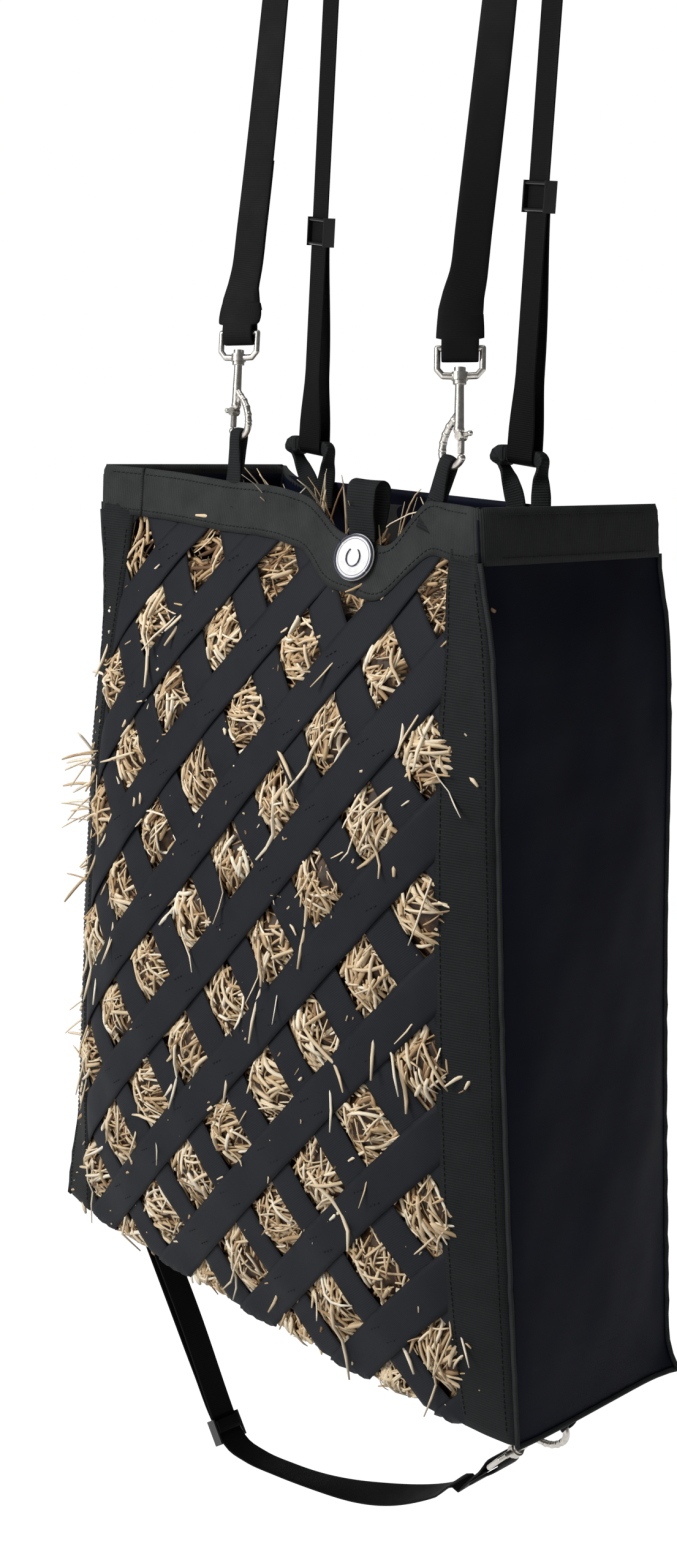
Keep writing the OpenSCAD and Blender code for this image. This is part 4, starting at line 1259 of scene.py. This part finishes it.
def rim_blades():
    """Long blades that arch up and over the front rim, left of the middle."""
    n = 34
    foot = points(rng.uniform(-110, 30, n), rng.uniform(-60, 30, n), RIM_Z - 80)
    lean_x, lean_y = rng.normal(18, 30, n), rng.normal(-26, 26, n)
    reach = rng.uniform(0.72, 1.0, n)
    s = np.linspace(0, 1, 8)[None] * reach[:, None]
    path = points(foot[:, None, 0] + lean_x[:, None] * s ** 1.6, foot[:, None, 1]
                  + lean_y[:, None] * s ** 1.6,
                  foot[:, None, 2] + 108 * s - 34 * s ** 3 * rng.uniform(0.3, 1.2, n)[:, None])
    stems(path, rng.uniform(0.5, 1.0, n), rng.choice([0.4, 0.9], n),
          rng.normal(0.74, 0.14, n).clip(0.3, 1), "hay_blades")


def edge_tufts():
    """Tufts that stand out past the left edge."""
    n = 26
    v0 = rng.choice([240, 262, 300, 345, 470, 500], n) + rng.normal(0, 12, n)
    start = front_skin(np.full(n, -0.90) + rng.normal(0, 0.03, n), v0, 2.0)
    way = unit(points(rng.normal(-0.8, 0.45, n), rng.normal(-0.35, 0.25, n),
                      rng.normal(-0.25, 0.6, n)))
    long = rng.uniform(12, 34, n)
    s = np.linspace(0, 1, 6)[None, :, None] * long[:, None, None]
    path = start[:, None] + way[:, None] * s + vec(0, 0, -0.006) * s * s
    stems(path, rng.uniform(0.6, 1.3, n), rng.choice([0.5, 0.9], n),
          rng.normal(0.72, 0.16, n).clip(0.2, 1), "hay_tufts")


hay_core_shade()
front_hay()
mouth_hay()
rim_blades()
edge_tufts()


# ---- Hardware keeps its CAD shapes ----

for name, obj in NODES.items():
    if obj.hide_render:
        continue
    nickel = "snap" in name or name.endswith(("gate", "gate_pin"))
    obj.data.materials.clear()
    obj.data.materials.append(NICKEL if nickel else BLACK_STEEL)
    smooth = obj.modifiers.new("smooth", "EDGE_SPLIT")
    smooth.split_angle = math.radians(40)
    for polygon in obj.data.polygons:
        polygon.use_smooth = True


# ---- Floor and light ----

def studio():
    scene = bpy.context.scene
    scene.view_settings.view_transform = "Standard"
    world = bpy.data.worlds.new("studio")
    world.use_nodes = True
    tree = world.node_tree
    seen = tree.nodes["Background"]
    seen.inputs[0].default_value = (1.0, 1.0, 1.0, 1)
    soft = node(tree, "Background", Strength=0.17)
    mix = node(tree, "MixShader")
    tree.links.new(node(tree, "LightPath").outputs["Is Camera Ray"], mix.inputs[0])
    tree.links.new(soft.outputs[0], mix.inputs[1])
    tree.links.new(seen.outputs[0], mix.inputs[2])
    tree.links.new(mix.outputs[0], tree.nodes["World Output"].inputs[0])
    scene.world = world
    floor_mat, _, shader = material("floor", (0.16, 0.16, 0.16), 0.9)
    shader.inputs["Emission Color"].default_value = (1, 1, 1, 1)
    shader.inputs["Emission Strength"].default_value = 0.98
    size, z = 9000, -1640
    grid = points(np.linspace(-size, size, 9)[None], np.linspace(-size, size, 9)[:, None], z)
    at = np.arange(81).reshape(9, 9)
    quads = np.stack([at[:-1, :-1], at[:-1, 1:], at[1:, 1:], at[1:, :-1]], -1)
    floor = make("floor", grid, quads, floor_mat)
    floor.visible_diffuse = False
    centre = Vector((-0.02, 0, -0.9))
    for name, spot, size, power in (
            ("key", (-0.9, -2.2, 0.5), 1.2, 62), ("fill", (0.6, -2.4, -0.9), 1.8, 16),
            ("top", (-0.2, -0.1, 1.3), 1.4, 16)):
        light = bpy.data.lights.new(name, "AREA")
        light.size = size
        light.energy = power
        obj = bpy.data.objects.new(name, light)
        obj.location = spot
        obj.rotation_mode = "QUATERNION"
        obj.rotation_quaternion = (centre - Vector(spot)).to_track_quat("-Z", "Y")
        scene.collection.objects.link(obj)


studio()
